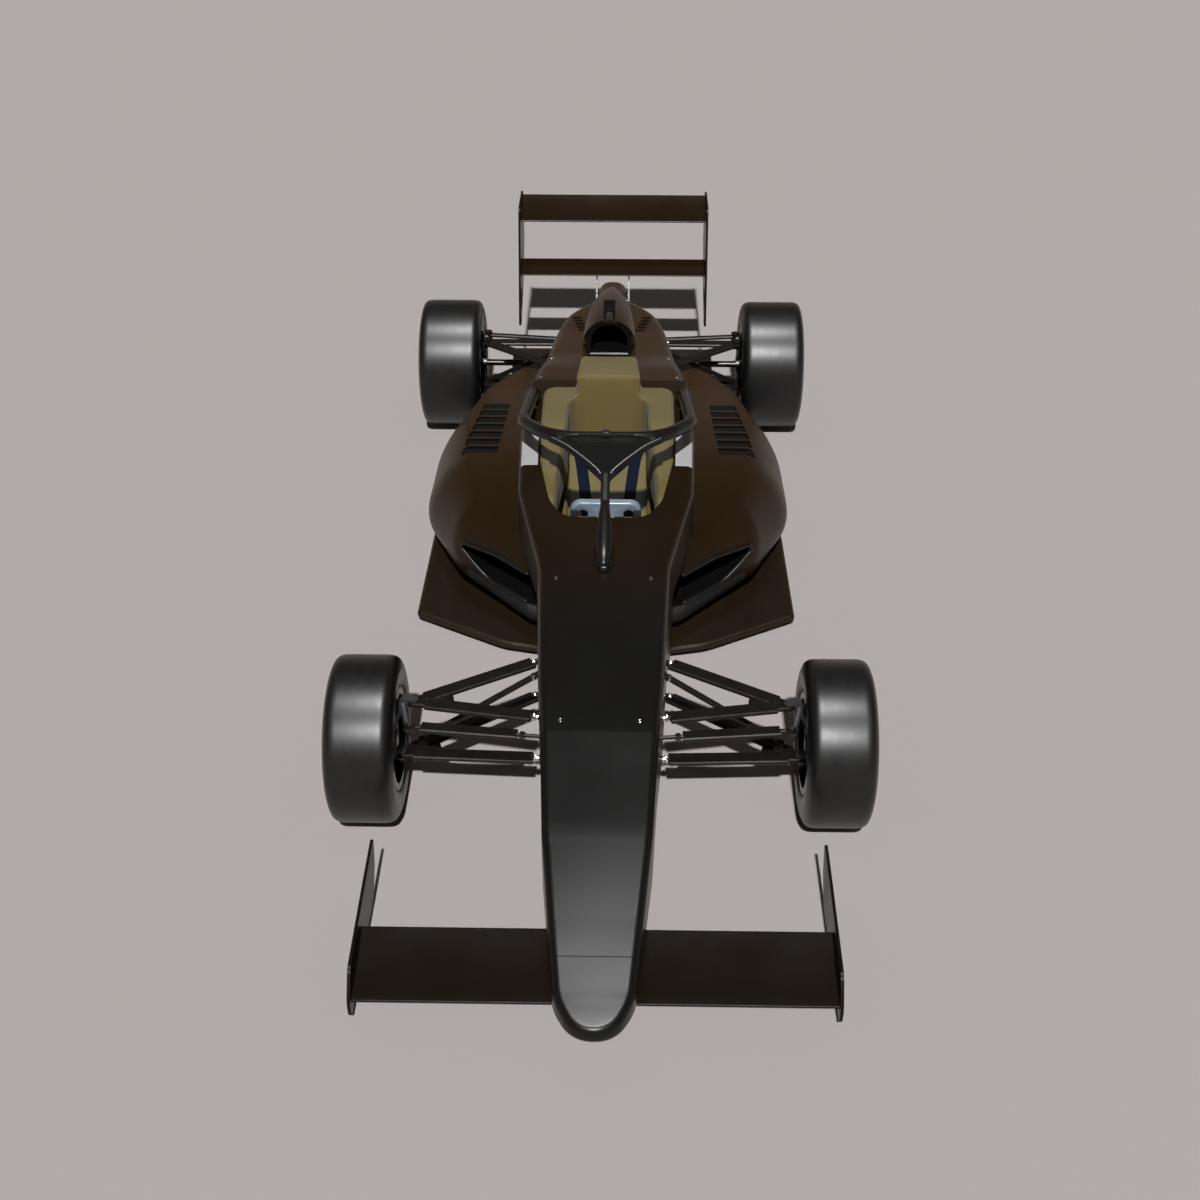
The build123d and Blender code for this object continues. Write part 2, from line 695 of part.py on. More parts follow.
with BuildPart() as steering_wheel:
    wheel_plane = Plane(origin=wheel_centre, x_dir=(1, 0, 0), z_dir=column_axis)
    with BuildSketch(wheel_plane):
        RectangleRounded(STEERING_WHEEL_W, STEERING_WHEEL_H, STEERING_WHEEL_CORNER)
        with Locations((GRIP_HOLE_X, 0), (-GRIP_HOLE_X, 0)):
            SlotOverall(*GRIP_HOLE, rotation=90, mode=Mode.SUBTRACT)
    extrude(amount=STEERING_WHEEL_T / 2, both=True)
    fillet(steering_wheel.edges().filter_by(GeomType.LINE).filter_by(Axis.X), STEERING_WHEEL_ROUND)
    with BuildSketch(Plane(origin=wheel_centre, x_dir=(1, 0, 0), z_dir=-column_axis)):
        Circle(BOSS_R)
    extrude(amount=STEERING_WHEEL_T / 2 + BOSS_LENGTH)
save(steering_wheel, "steering_wheel")

# Wing sections: leading edge, trailing edge, sag of the chord and thickness
FRONT_WING = ((-1003, 80), (-738, 126), 12, 24)
REAR_WING = ((REAR + 640, 770), (REAR + 862, 828), 16, 26)
BEAM_WING = ((REAR + 578, 508), (REAR + 706, 545), 9, 18)
WING_EDGE = 3
# Shares of the thickness and of the chord
WING_NOSE = 0.3
WING_MIDDLE = 0.45


def wing_section(front, back, sag, thick):
    """Cambered section of two arcs, seen from the side, hollow on top."""
    lead = Vector(y_at(front[0]), front[1])
    trail = Vector(y_at(back[0]), back[1])
    up = Vector(-(trail - lead).Y, (trail - lead).X).normalized()
    middle = lead + (trail - lead) * WING_MIDDLE
    nose_half = thick * WING_NOSE / 2
    nose_tip = lead + up * nose_half - (trail - lead).normalized() * nose_half
    top_lead = lead + up * 2 * nose_half
    top_trail = trail + up * WING_EDGE
    ThreePointArc(lead, nose_tip, top_lead)
    ThreePointArc(top_lead, middle - up * (sag - thick / 2), top_trail)
    Line(top_trail, trail)
    ThreePointArc(trail, middle - up * (sag + thick / 2), lead)


WINGS = (
    ("front_wing_plane", FRONT_WING, WING_SPAN_HALF),
    ("rear_wing_plane", REAR_WING, REAR_SPAN_HALF),
    ("rear_beam_wing", BEAM_WING, REAR_SPAN_HALF),
)
wing_parts = {}
for wing_name, section, span_half in WINGS:
    with BuildPart() as wing:
        with BuildSketch(Plane.YZ):
            with BuildLine():
                wing_section(*section)
            make_face()
        extrude(amount=span_half, both=True)
    wing_parts[wing_name] = wing.part
    save(wing, wing_name)

# Wing end plates and pylons
FRONT_PLATE = [
    (-1018, 30, 12), (-1030, 92, 60), (-966, 180, 40), (-600, 200, 0), (-418, 206, 6), (-440, 110, 40),
    (-520, 30, 20),
]
REAR_PLATE = [
    (REAR + 600, 852, 20), (REAR_OVERHANG + REAR, 852, 20), (REAR_OVERHANG + REAR, 600, 60),
    (REAR + 720, 430, 80), (REAR + 480, 292, 20), (REAR + 420, 300, 12),
]
with BuildPart() as front_wing_endplates:
    with BuildSketch(Plane.YZ.offset(WING_SPAN_HALF)):
        with BuildLine():
            side_outline(FRONT_PLATE)
        make_face()
    extrude(amount=FRONT_PLATE_T)
    mirror(about=Plane.YZ)
save(front_wing_endplates, "front_wing_endplates")

with BuildPart() as rear_wing_endplates:
    with BuildSketch(Plane.YZ.offset(REAR_SPAN_HALF)):
        with BuildLine():
            side_outline(REAR_PLATE)
        make_face()
    extrude(amount=REAR_PLATE_T)
    mirror(about=Plane.YZ)
save(rear_wing_endplates, "rear_wing_endplates")

FRONT_PYLON = [(-960, 78, 0), (-960, 240, 0), (-800, 240, 0), (-800, 106, 0)]
with BuildPart() as front_wing_pylons:
    with BuildSketch(Plane.YZ.offset(PYLON_X - PYLON_T)):
        with BuildLine():
            side_outline(FRONT_PYLON)
        make_face()
    extrude(amount=PYLON_T)
    add(nose_cone.part, mode=Mode.SUBTRACT)
    add(wing_parts["front_wing_plane"], mode=Mode.SUBTRACT)
    mirror(about=Plane.YZ)
save(front_wing_pylons, "front_wing_pylons")

# Engine as one plain block, gearbox, crash structure with lamp and jack pin
ENGINE_END = REAR - 450
ENGINE_HALF = 205
ENGINE_TOP = 338
GEARBOX_END = REAR + 310
GEARBOX_HALF = 105
GEARBOX_PLAN = [(ENGINE_END, 200, 0), (ENGINE_END + 165, 112, 80), (GEARBOX_END, GEARBOX_HALF, 0)]
GEARBOX_SIDE = [
    (ENGINE_END, FLOOR_TOP, 0), (ENGINE_END, 320, 0), (ENGINE_END + 165, 320, 0), (ENGINE_END + 185, 385, 20),
    (GEARBOX_END, 358, 0), (GEARBOX_END, 215, 0), (ENGINE_END + 215, FLOOR_TOP, 0),
]
CRASH_END = REAR + 730
CRASH_HALF = 80
CRASH_ENDS = ((GEARBOX_END, 100, 222, 364), (CRASH_END, CRASH_HALF, 288, 362))
SHAFT_R = 15
CV_R = 36
CV_GAP = 12
CV_LENGTH = 60
SHAFT_SEAT = 25
JACK_PIN_R = 11
JACK_PIN_LENGTH = 70
JACK_PIN_Z = 304
LAMP = (60, 18, 38)
LAMP_CORNER = 8
LAMP_Z = 340

with BuildPart() as engine:
    with BuildSketch(Plane.XY.offset(FLOOR_TOP)):
        with Locations((0, (y_at(TUB_END) + y_at(ENGINE_END)) / 2)):
            Rectangle(2 * ENGINE_HALF, ENGINE_END - TUB_END)
    extrude(amount=ENGINE_TOP - FLOOR_TOP)
save(engine, "engine")

with BuildPart() as gearbox:
    with BuildSketch():
        with BuildLine():
            plan_outline(GEARBOX_PLAN)
        make_face()
    extrude(amount=FAR)
    with BuildSketch(Plane.YZ):
        with BuildLine():
            side_outline(GEARBOX_SIDE)
        make_face()
    extrude(amount=FAR, both=True, mode=Mode.INTERSECT)
    with BuildSketch(Plane.YZ):
        with Locations((y_at(REAR), REAR_TYRE_R)):
            Circle(SHAFT_R + RUNNING_GAP)
    extrude(amount=FAR, both=True, mode=Mode.SUBTRACT)
    add(diffuser.part, mode=Mode.SUBTRACT)
save(gearbox, "gearbox")

with BuildPart() as crash_structure:
    for station, half, low, high in CRASH_ENDS:
        with BuildSketch(Plane.XZ.offset(-y_at(station))):
            with Locations((0, (low + high) / 2)):
                Rectangle(2 * half, high - low)
    loft()
    rod(place(0, 0, CRASH_END - LINK_OVERLAP, JACK_PIN_Z), place(0, 0, CRASH_END + JACK_PIN_LENGTH, JACK_PIN_Z), JACK_PIN_R)
save(crash_structure, "crash_structure")

with BuildPart() as rear_lamp:
    with BuildSketch(Plane.XZ.offset(-y_at(CRASH_END))):
        with Locations((0, LAMP_Z)):
            RectangleRounded(LAMP[0], LAMP[2], LAMP_CORNER)
    extrude(amount=-LAMP[1])
save(rear_lamp, "rear_lamp")

REAR_PYLON = [
    (REAR + 430, 350, 0), (REAR + 600, 350, 0), (REAR + 690, 536, 0), (REAR + 600, 509, 0),
]
with BuildPart() as rear_wing_pylons:
    with BuildSketch(Plane.YZ.offset(PYLON_X - PYLON_T)):
        with BuildLine():
            side_outline(REAR_PYLON)
        make_face()
    extrude(amount=PYLON_T)
    add(crash_structure.part, mode=Mode.SUBTRACT)
    add(wing_parts["rear_beam_wing"], mode=Mode.SUBTRACT)
    mirror(about=Plane.YZ)
save(rear_wing_pylons, "rear_wing_pylons")


# Front suspension: each wishbone has a ring on the kingpin axis and two legs to the tub
def kingpin(side):
    """Lower ball, upper ball and unit axis of one front kingpin."""
    low = Vector(*place(side, *KINGPIN_LOW))
    high = Vector(*place(side, *KINGPIN_HIGH))
    return low, high, (high - low).normalized()


def disc_at(centre, axis, radius, start, end, mode=Mode.ADD):
    """Round disc on an axis, between two distances from a centre."""
    with BuildSketch(Plane(origin=centre + axis * start, z_dir=axis)) as profile:
        Circle(radius)
    extrude(profile.sketch, amount=end - start, mode=mode)


def gusset(ball, ends):
    """Flat web between the two legs of a wishbone at its outer end."""
    tips = [(end - ball).normalized() * GUSSET_REACH for end in ends]
    web = Plane(origin=ball, x_dir=tips[0], z_dir=tips[0].cross(tips[1]))
    with BuildSketch(web) as profile:
        with BuildLine():
            Polyline((0, 0), (GUSSET_REACH, 0), (tips[1].dot(web.x_dir), tips[1].dot(web.y_dir)), close=True)
        make_face()
    extrude(profile.sketch, amount=GUSSET_T / 2, both=True)


EAR_GAP = 0.5
EAR_CLEAR_R = 24
EAR_REACH = 34
TUB_NECK = 34
# The legs are narrow near the ball, where the knuckle's fork swings
BALL_NECK = 50
BALL_CHORD = 40
# Inner ends on the tub: half width, station, height
UPPER_INNER = ((200, -70, 440), (214, 262, 436))
LOWER_INNER = ((200, -34, 236), (218, 340, 232))
FRONT_WISHBONES = (("front_upper_wishbones", 1, UPPER_INNER), ("front_lower_wishbones", 0, LOWER_INNER))
wishbone_parts = {}
for bone_name, ball_index, inner_ends in FRONT_WISHBONES:
    with BuildPart() as wishbones:
        for side, side_name in SIDES:
            ball = kingpin(side)[ball_index]
            axis = kingpin(side)[2]
            for inner in inner_ends:
                tub_end = Vector(*place(side, *inner))
                neck_start = tub_end + (ball - tub_end).normalized() * TUB_NECK
                wide_start = ball + (tub_end - ball).normalized() * BALL_NECK
                link(ball, wide_start, BALL_CHORD)
                link(wide_start, neck_start)
                rod(tub_end, neck_start + (neck_start - tub_end).normalized() * LINK_OVERLAP, LINK_NECK_R)
            gusset(ball, [Vector(*place(side, *inner)) for inner in inner_ends])
            disc_at(ball, axis, BALL_RING_R, -BALL_RING_T / 2, BALL_RING_T / 2)
            disc_at(ball, axis, EAR_CLEAR_R, BALL_RING_T / 2, EAR_REACH, Mode.SUBTRACT)
            disc_at(ball, axis, EAR_CLEAR_R, -EAR_REACH, -BALL_RING_T / 2, Mode.SUBTRACT)
            disc_at(ball, axis, BALL_PIN_R + RUNNING_GAP, -EAR_REACH, EAR_REACH, Mode.SUBTRACT)
        add(monocoque.part, mode=Mode.SUBTRACT)
    wishbone_parts[bone_name] = wishbones.part
    save(wishbones, bone_name)

PUSHROD_R = 11
PUSHROD_LOW = (KINGPIN_LOW[0] - 64, 62, 236)
PUSHROD_HIGH = (200, 96, 508)
with BuildPart() as front_pushrods:
    for side, side_name in SIDES:
        rod(place(side, *PUSHROD_LOW), place(side, *PUSHROD_HIGH), PUSHROD_R)
    add(monocoque.part, mode=Mode.SUBTRACT)
    add(wishbone_parts["front_lower_wishbones"], mode=Mode.SUBTRACT)
save(front_pushrods, "front_pushrods")

# Front knuckles: bearing housing, forks on the kingpin axis, steering arm and brake caliper
HOUSING_R = 62
HOUSING_SPAN = (-98, -28)
HUB_SPAN = (-24, 62)
DISC_MID = -10
SPOKE_SPAN = (34, 58)
CALIPER_R = (84, 146)
CALIPER_WALLS = (20, 17)
CALIPER_ANGLE = 30
FORK_REACH = 40
FORK_HALF = 18
EAR_T = 8
ARM_R = 17
STEERING_ARM_R = 11
TRACK_RING_R = 14
TRACK_RING_T = 14
TRACK_PIN_R = 7
TRACK_EAR_CLEAR = 4
TRACK_CLEAR_R = 24
TRACK_CLEAR = 40
TRACK_HEX_R = 13
TRACK_HEX_SPAN = (10, 26)
# Rod that carries the caliper: inboard of the wheel's middle, length and radius
CARRIER = (42, 100, 14)
# Arms of a knuckle: where they leave the fork and where they meet the housing
ARM_ROOT = 30
ARM_INBOARD = 70
ARM_ABOVE = 40
STEERING_ROOT = (34, 8)
STUB_CLEAR = (60, 20)
CV_CLEAR = 100


def wheel_axis(side, wheel_x, station, radius):
    """Plane square to an axle at the wheel's middle, its normal pointing outwards."""
    return Plane(origin=place(side, wheel_x, station, radius), x_dir=(0, side, 0), z_dir=(side, 0, 0))


def caliper(axle, backwards):
    """Caliper round the edge of the brake disc, its bridge outside the rim of the disc."""
    low = DISC_MID - DISC_T / 2 - CALIPER_GAP - CALIPER_WALLS[0]
    high = DISC_MID + DISC_T / 2 + CALIPER_GAP + CALIPER_WALLS[1]
    spread = CALIPER_R[1] * math.tan(math.radians(CALIPER_ANGLE))
    with BuildSketch(axle.offset(low)) as profile:
        Circle(CALIPER_R[1])
        Circle(CALIPER_R[0], mode=Mode.SUBTRACT)
        with BuildLine():
            Polyline((0, 0), (backwards * 2 * CALIPER_R[1], 2 * spread), (backwards * 2 * CALIPER_R[1], -2 * spread),
                     close=True)
        make_face(mode=Mode.INTERSECT)
    extrude(profile.sketch, amount=high - low)
    with BuildSketch(axle.offset(DISC_MID - DISC_T / 2 - CALIPER_GAP)) as slot:
        Circle(DISC_R + CALIPER_GAP)
    extrude(slot.sketch, amount=DISC_T + 2 * CALIPER_GAP, mode=Mode.SUBTRACT)


def housing(axle):
    """Bearing housing of a knuckle with the rod that carries the caliper."""
    with BuildSketch(axle.offset(HOUSING_SPAN[0])) as profile:
        Circle(HOUSING_R)
    extrude(profile.sketch, amount=HOUSING_SPAN[1] - HOUSING_SPAN[0])
    inboard, length, radius = CARRIER
    start = axle.origin - axle.z_dir * inboard
    rod(start, start + Vector(0, length, 0), radius)


def stub_bore(axle):
    """Bore of a housing for the wheel's stub axle."""
    with BuildSketch(axle.offset(HOUSING_SPAN[0] - STUB_CLEAR[0])) as profile:
        Circle(STUB_R + RUNNING_GAP)
    extrude(profile.sketch, amount=HOUSING_SPAN[1] - HOUSING_SPAN[0] + sum(STUB_CLEAR), mode=Mode.SUBTRACT)


for side, side_name in SIDES:
    low, high, axis = kingpin(side)
    outwards = Vector(side, 0, 0) - axis * axis.X * side
    outwards = outwards.normalized()
    axle = wheel_axis(side, FRONT_WHEEL_X, 0, FRONT_TYRE_R)
    track_pin = high + Vector(0, -ARM_LENGTH, 0)
    track_pin = Vector(track_pin.X, track_pin.Y, TRACK_ROD_Z)
    fork_half_height = BALL_RING_T / 2 + EAR_GAP + EAR_T
    with BuildPart() as upright:
        caliper(axle, side)
        housing(axle)
        for ball in (low, high):
            with BuildSketch(Plane(origin=ball - axis * fork_half_height, x_dir=outwards, z_dir=axis)):
                Circle(FORK_HALF)
                with Locations((FORK_REACH / 2, 0)):
                    Rectangle(FORK_REACH, 2 * FORK_HALF)
            extrude(amount=2 * fork_half_height)
        arm_foot = place(side, FRONT_WHEEL_X - ARM_INBOARD, 0, FRONT_TYRE_R + ARM_ABOVE)
        rod(high + outwards * ARM_ROOT, arm_foot, ARM_R)
        boss_centre = track_pin - axis * (TRACK_RING_T / 2 + EAR_GAP + EAR_T / 2)
        rod(high + outwards * STEERING_ROOT[0] - axis * STEERING_ROOT[1], boss_centre, STEERING_ARM_R)
        disc_at(boss_centre, axis, TRACK_RING_R, -EAR_T / 2, EAR_T / 2)
        clear_r = TRACK_RING_R + TRACK_EAR_CLEAR
        disc_at(track_pin, axis, clear_r, -TRACK_RING_T / 2 - EAR_GAP, TRACK_CLEAR, Mode.SUBTRACT)
        for ball in (low, high):
            disc_at(ball, axis, EAR_CLEAR_R, -BALL_RING_T / 2 - EAR_GAP, BALL_RING_T / 2 + EAR_GAP, Mode.SUBTRACT)
            disc_at(ball, axis, BALL_PIN_R, -fork_half_height, fork_half_height)
        disc_at(track_pin, axis, TRACK_PIN_R, -TRACK_RING_T, TRACK_RING_T / 2 + TRACK_EAR_CLEAR)
        stub_bore(axle)
    save(upright, f"front_upright_{side_name}")
    with BuildPart() as track_rod:
        inner_end = Vector(*place(side, RACK_END, TRACK_ROD_INNER, TRACK_ROD_Z))
        faired_share = (abs(track_pin.X) - TRACK_FAIRING_END) / (abs(track_pin.X) - RACK_END)
        fairing_end = track_pin + (inner_end - track_pin) * faired_share
        fairing_start = track_pin + (inner_end - track_pin).normalized() * TRACK_FAIRING_START
        link(track_pin, fairing_start, 2 * TRACK_ROD_R + TRACK_EAR_CLEAR, 2 * TRACK_ROD_R)
        link(fairing_start, fairing_end, TRACK_ROD_CHORD)
        rod(fairing_end, inner_end, TRACK_ROD_R)
        hex_axis = (inner_end - fairing_end).normalized()
        with BuildSketch(Plane(origin=fairing_end + hex_axis * TRACK_HEX_SPAN[0], z_dir=hex_axis)):
            RegularPolygon(TRACK_HEX_R, 6)
        extrude(amount=TRACK_HEX_SPAN[1] - TRACK_HEX_SPAN[0])
        disc_at(track_pin, axis, TRACK_RING_R, -TRACK_RING_T / 2, TRACK_RING_T / 2)
        disc_at(track_pin, axis, TRACK_CLEAR_R, TRACK_RING_T / 2, TRACK_CLEAR, Mode.SUBTRACT)
        disc_at(track_pin, axis, TRACK_CLEAR_R, -TRACK_CLEAR, -TRACK_RING_T / 2, Mode.SUBTRACT)
        disc_at(track_pin, axis, TRACK_PIN_R + RUNNING_GAP, -TRACK_CLEAR, TRACK_CLEAR, Mode.SUBTRACT)
    save(track_rod, f"track_rod_{side_name}")

# Rear suspension: fixed to the bodywork and the gearbox, with ball ends on the rear uprights
REAR_BALL_R = 20
REAR_BALL_T = 38
REAR_UPPER = (REAR_WHEEL_X - 163, REAR - 10, 410)
REAR_LOWER = (REAR_WHEEL_X - 125, REAR, 198)
REAR_TOE = (REAR_WHEEL_X - 163, REAR + 97, 400)
TOE_CHORD = 30
REAR_UPPER_INNER = ((240, REAR - 245, 392), (200, REAR + 25, 394))
REAR_LOWER_INNER = ((300, REAR - 235, 193), (100, REAR + 135, 205))
REAR_TOE_INNER = ((200, REAR + 67, 392),)
REAR_LINKS = (
    ("rear_upper_wishbones", REAR_UPPER, REAR_UPPER_INNER, LINK_CHORD),
    ("rear_lower_wishbones", REAR_LOWER, REAR_LOWER_INNER, LINK_CHORD),
    ("rear_toe_links", REAR_TOE, REAR_TOE_INNER, TOE_CHORD),
)
rear_link_parts = []
for link_name, ball, inner_ends, chord in REAR_LINKS:
    with BuildPart() as rear_links:
        for side, side_name in SIDES:
            for inner in inner_ends:
                link(place(side, *ball), place(side, *inner), chord)
            disc_at(Vector(*place(side, *ball)), Vector(0, 0, 1), REAR_BALL_R, -REAR_BALL_T / 2, REAR_BALL_T / 2)
        add(engine_cover.part, mode=Mode.SUBTRACT)
        for pod_part in sidepod_parts:
            add(pod_part, mode=Mode.SUBTRACT)
        add(gearbox.part, mode=Mode.SUBTRACT)
    rear_link_parts.append(rear_links.part)
    save(rear_links, link_name)

REAR_PUSHROD_LOW = (REAR_LOWER[0] - 44, REAR - 26, 216)
REAR_PUSHROD_HIGH = (230, REAR - 165, 455)
with BuildPart() as rear_pushrods:
    for side, side_name in SIDES:
        rod(place(side, *REAR_PUSHROD_LOW), place(side, *REAR_PUSHROD_HIGH), PUSHROD_R)
    add(engine_cover.part, mode=Mode.SUBTRACT)
    for pod_part in sidepod_parts:
        add(pod_part, mode=Mode.SUBTRACT)
    add(rear_link_parts[1], mode=Mode.SUBTRACT)
save(rear_pushrods, "rear_pushrods")

with BuildPart() as rear_uprights:
    for side, side_name in SIDES:
        axle = wheel_axis(side, REAR_WHEEL_X, REAR, REAR_TYRE_R)
        caliper(axle, side)
        housing(axle)
        for ball in (REAR_UPPER, REAR_LOWER, REAR_TOE):
            rod(place(side, REAR_WHEEL_X - ARM_INBOARD, REAR, REAR_TYRE_R), place(side, *ball), ARM_R)
        stub_bore(axle)
        with BuildSketch(axle.offset(HOUSING_SPAN[0] - CV_CLEAR)):
            Circle(CV_R + CALIPER_GAP)
        extrude(amount=CV_CLEAR, mode=Mode.SUBTRACT)
    for link_part in rear_link_parts:
        add(link_part, mode=Mode.SUBTRACT)
save(rear_uprights, "rear_uprights")

# Wheels: rim with spokes, hub and nut, tyre of straight facets, brake disc, drive shaft at the rear
NUT_R = 30
NUT_T = 22
TYRE_SHOULDER = ((0, 48), (17, 14), (48, 0))
STUB_END = -102
RIM_INSET = 8
RIM_LIP_T = 7
RIM_LIP_SLOPE = 2
BEAD_INSET = 14.5
SPOKE_OVERLAP = 12
lip_r = RIM_SEAT_R + RIM_LIP
# Wheels: name, station, half track, tyre radius, tyre width
WHEELS = (
    ("front", 0, FRONT_WHEEL_X, FRONT_TYRE_R, FRONT_TYRE_W),
    ("rear", REAR, REAR_WHEEL_X, REAR_TYRE_R, REAR_TYRE_W),
)
for end_name, station, wheel_x, tyre_r, tyre_w in WHEELS:
    for side, side_name in SIDES:
        axle = wheel_axis(side, wheel_x, station, tyre_r)
        spin = Axis(place(side, wheel_x, station, tyre_r), (side, 0, 0))
        profile_plane = Plane(origin=spin.position, x_dir=(side, 0, 0), z_dir=(0, -side, 0))
        rim_half = tyre_w / 2 - RIM_INSET
        lip_foot = rim_half - RIM_LIP_T - RIM_LIP_SLOPE
        bead = rim_half - BEAD_INSET
        wheel_name = f"{end_name}_{side_name}"
        with BuildPart() as rim:
            with BuildSketch(profile_plane):
                with BuildLine():
                    Polyline(
                        (-rim_half, RIM_BORE_R), (-rim_half, lip_r), (-rim_half + RIM_LIP_T, lip_r),
                        (-lip_foot, RIM_SEAT_R), (lip_foot, RIM_SEAT_R), (rim_half - RIM_LIP_T, lip_r),
                        (rim_half, lip_r), (rim_half, RIM_BORE_R), close=True,
                    )
                make_face()
            revolve(axis=spin)
            with BuildSketch(axle.offset(HUB_SPAN[0])):
                Circle(HUB_R)
            extrude(amount=HUB_SPAN[1] - HUB_SPAN[0])
            with BuildSketch(axle.offset(SPOKE_SPAN[0])):
                with PolarLocations((HUB_R + RIM_BORE_R) / 2, SPOKE_COUNT):
                    Rectangle(RIM_BORE_R - HUB_R + SPOKE_OVERLAP, SPOKE_W)
            extrude(amount=SPOKE_SPAN[1] - SPOKE_SPAN[0])
            with BuildSketch(axle.offset(HUB_SPAN[1])):
                RegularPolygon(NUT_R, 6)
            extrude(amount=NUT_T)
            with BuildSketch(axle.offset(STUB_END)):
                Circle(STUB_R)
            extrude(amount=HUB_SPAN[0] - STUB_END)
        save(rim, f"rim_{wheel_name}")
        with BuildPart() as tyre:
            with BuildSketch(profile_plane):
                with BuildLine():
                    outer = [(tyre_w / 2 - inset, tyre_r - drop) for inset, drop in TYRE_SHOULDER]
                    half_profile = [(bead, RIM_SEAT_R + TYRE_FIT)] + outer
                    Polyline(half_profile + [(-u, v) for u, v in reversed(half_profile)], close=True)
                make_face()
            revolve(axis=spin)
        save(tyre, f"tyre_{wheel_name}")
        with BuildPart() as disc:
            with BuildSketch(axle.offset(DISC_MID - DISC_T / 2)):
                Circle(DISC_R)
                Circle(HUB_R + TYRE_FIT, mode=Mode.SUBTRACT)
            extrude(amount=DISC_T)
        save(disc, f"brake_disc_{wheel_name}")

for side, side_name in SIDES:
    shaft_axle = wheel_axis(side, 0, REAR, REAR_TYRE_R)
    outer_end = REAR_WHEEL_X + STUB_END
    with BuildPart() as drive_shaft:
        for start, end, radius in (
            (GEARBOX_HALF - SHAFT_SEAT, outer_end, SHAFT_R),
            (GEARBOX_HALF + CV_GAP, GEARBOX_HALF + CV_GAP + CV_LENGTH, CV_R),
            (outer_end - CV_LENGTH, outer_end, CV_R),
        ):
            with BuildSketch(shaft_axle.offset(start)):
                Circle(radius)
            extrude(amount=end - start)
    save(drive_shaft, f"drive_shaft_{side_name}")
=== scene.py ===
# %% [markdown]
# # An open wheel racing car, dressed for a studio picture
#
# The hard parts of the car come from its CAD model and already stand in the right place.
# This lesson gives them their finishes, and adds what a CAD solid can't show well:
# padding, webbing, tyres with round shoulders, joints, fasteners and seams.
# The car faces -Y, its left side is +X, and one unit is one metre.

# %% Load the car
import math

import bmesh
import bpy
from mathutils import Matrix, Vector
from mathutils.bvhtree import BVHTree


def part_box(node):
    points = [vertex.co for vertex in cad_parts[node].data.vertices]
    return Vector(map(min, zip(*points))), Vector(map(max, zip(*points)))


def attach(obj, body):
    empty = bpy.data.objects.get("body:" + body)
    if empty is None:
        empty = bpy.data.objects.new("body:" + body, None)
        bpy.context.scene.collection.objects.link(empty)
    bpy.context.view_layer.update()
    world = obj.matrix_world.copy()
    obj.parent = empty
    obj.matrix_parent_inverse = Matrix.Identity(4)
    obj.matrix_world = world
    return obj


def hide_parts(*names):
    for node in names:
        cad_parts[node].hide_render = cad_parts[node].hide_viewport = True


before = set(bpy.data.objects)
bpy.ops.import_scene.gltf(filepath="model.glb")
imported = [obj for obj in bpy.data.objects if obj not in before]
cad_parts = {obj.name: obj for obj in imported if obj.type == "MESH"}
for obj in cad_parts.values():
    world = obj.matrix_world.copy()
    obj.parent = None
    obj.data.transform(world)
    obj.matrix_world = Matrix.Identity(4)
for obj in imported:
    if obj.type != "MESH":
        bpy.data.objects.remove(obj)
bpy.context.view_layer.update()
FRONT_AXLE_Y = -1.2695
SIDES = ((1, "left"), (-1, "right"))
UP = Vector((0, 0, 1))
BACK = Vector((0, 1, 0))
AHEAD = Vector((0, -1, 0))


def y_at(station):
    """Y of a distance behind the front axle, in metres."""
    return FRONT_AXLE_Y + station


# %% [markdown]
# ## Camera
# The photograph looks down on the nose from ahead, from a little under four metres up.
# The place, the two angles and the lens were solved from points on the car whose size is known,
# so the camera gets plain numbers and no constraint.

# %% Camera
CAMERA_AT = (0.0787, -5.7912, 3.8900)
CAMERA_DOWN = 33.755
CAMERA_YAW = 1.033
PHOTO_LENS = 50.469
SENSOR_WIDTH = 36
FAR_END = 200

photo_camera = bpy.data.objects.new("photo_camera", bpy.data.cameras.new("photo_camera"))
bpy.context.scene.collection.objects.link(photo_camera)
photo_camera.location = CAMERA_AT
photo_camera.rotation_euler = (math.radians(90 - CAMERA_DOWN), 0, math.radians(CAMERA_YAW))
photo_camera.data.sensor_fit = "HORIZONTAL"
photo_camera.data.sensor_width = SENSOR_WIDTH
photo_camera.data.lens = PHOTO_LENS
photo_camera.data.clip_end = FAR_END
bpy.context.scene.camera = photo_camera
print("camera at", CAMERA_AT)

# %% [markdown]
# ## Helpers for working as by hand
# Every operator works on what is selected, so each step starts by letting everything go.
# `pick` chooses faces, edges or points in edit mode by where they are, as a hand does with the mouse.
# `settle` moves an object's place into its mesh, because every finished piece sits at the origin.

# %% Helpers
MERGE_DISTANCE = 0.00002
# A face looks a way when its normal has at least this share of it
LOOKS = 0.9
# Angle for pieces that are shaded smooth everywhere
ALL_SMOOTH = 180


def let_go():
    """Back to object mode with nothing selected."""
    if bpy.context.mode != "OBJECT":
        bpy.ops.object.mode_set(mode="OBJECT")
    bpy.ops.object.select_all(action="DESELECT")


def hold(piece):
    """Make one piece the only selected and active one."""
    let_go()
    piece.select_set(True)
    bpy.context.view_layer.objects.active = piece


def settle(piece):
    """Put a piece's place, turn and scale into its mesh."""
    hold(piece)
    bpy.ops.object.transform_apply(location=True, rotation=True, scale=True)


def edit(piece, mode="FACE", choose="DESELECT"):
    """Edit mode on one piece, with nothing or all of it selected."""
    hold(piece)
    bpy.ops.object.mode_set(mode="EDIT")
    bpy.ops.mesh.select_mode(type=mode)
    bpy.ops.mesh.select_all(action=choose)


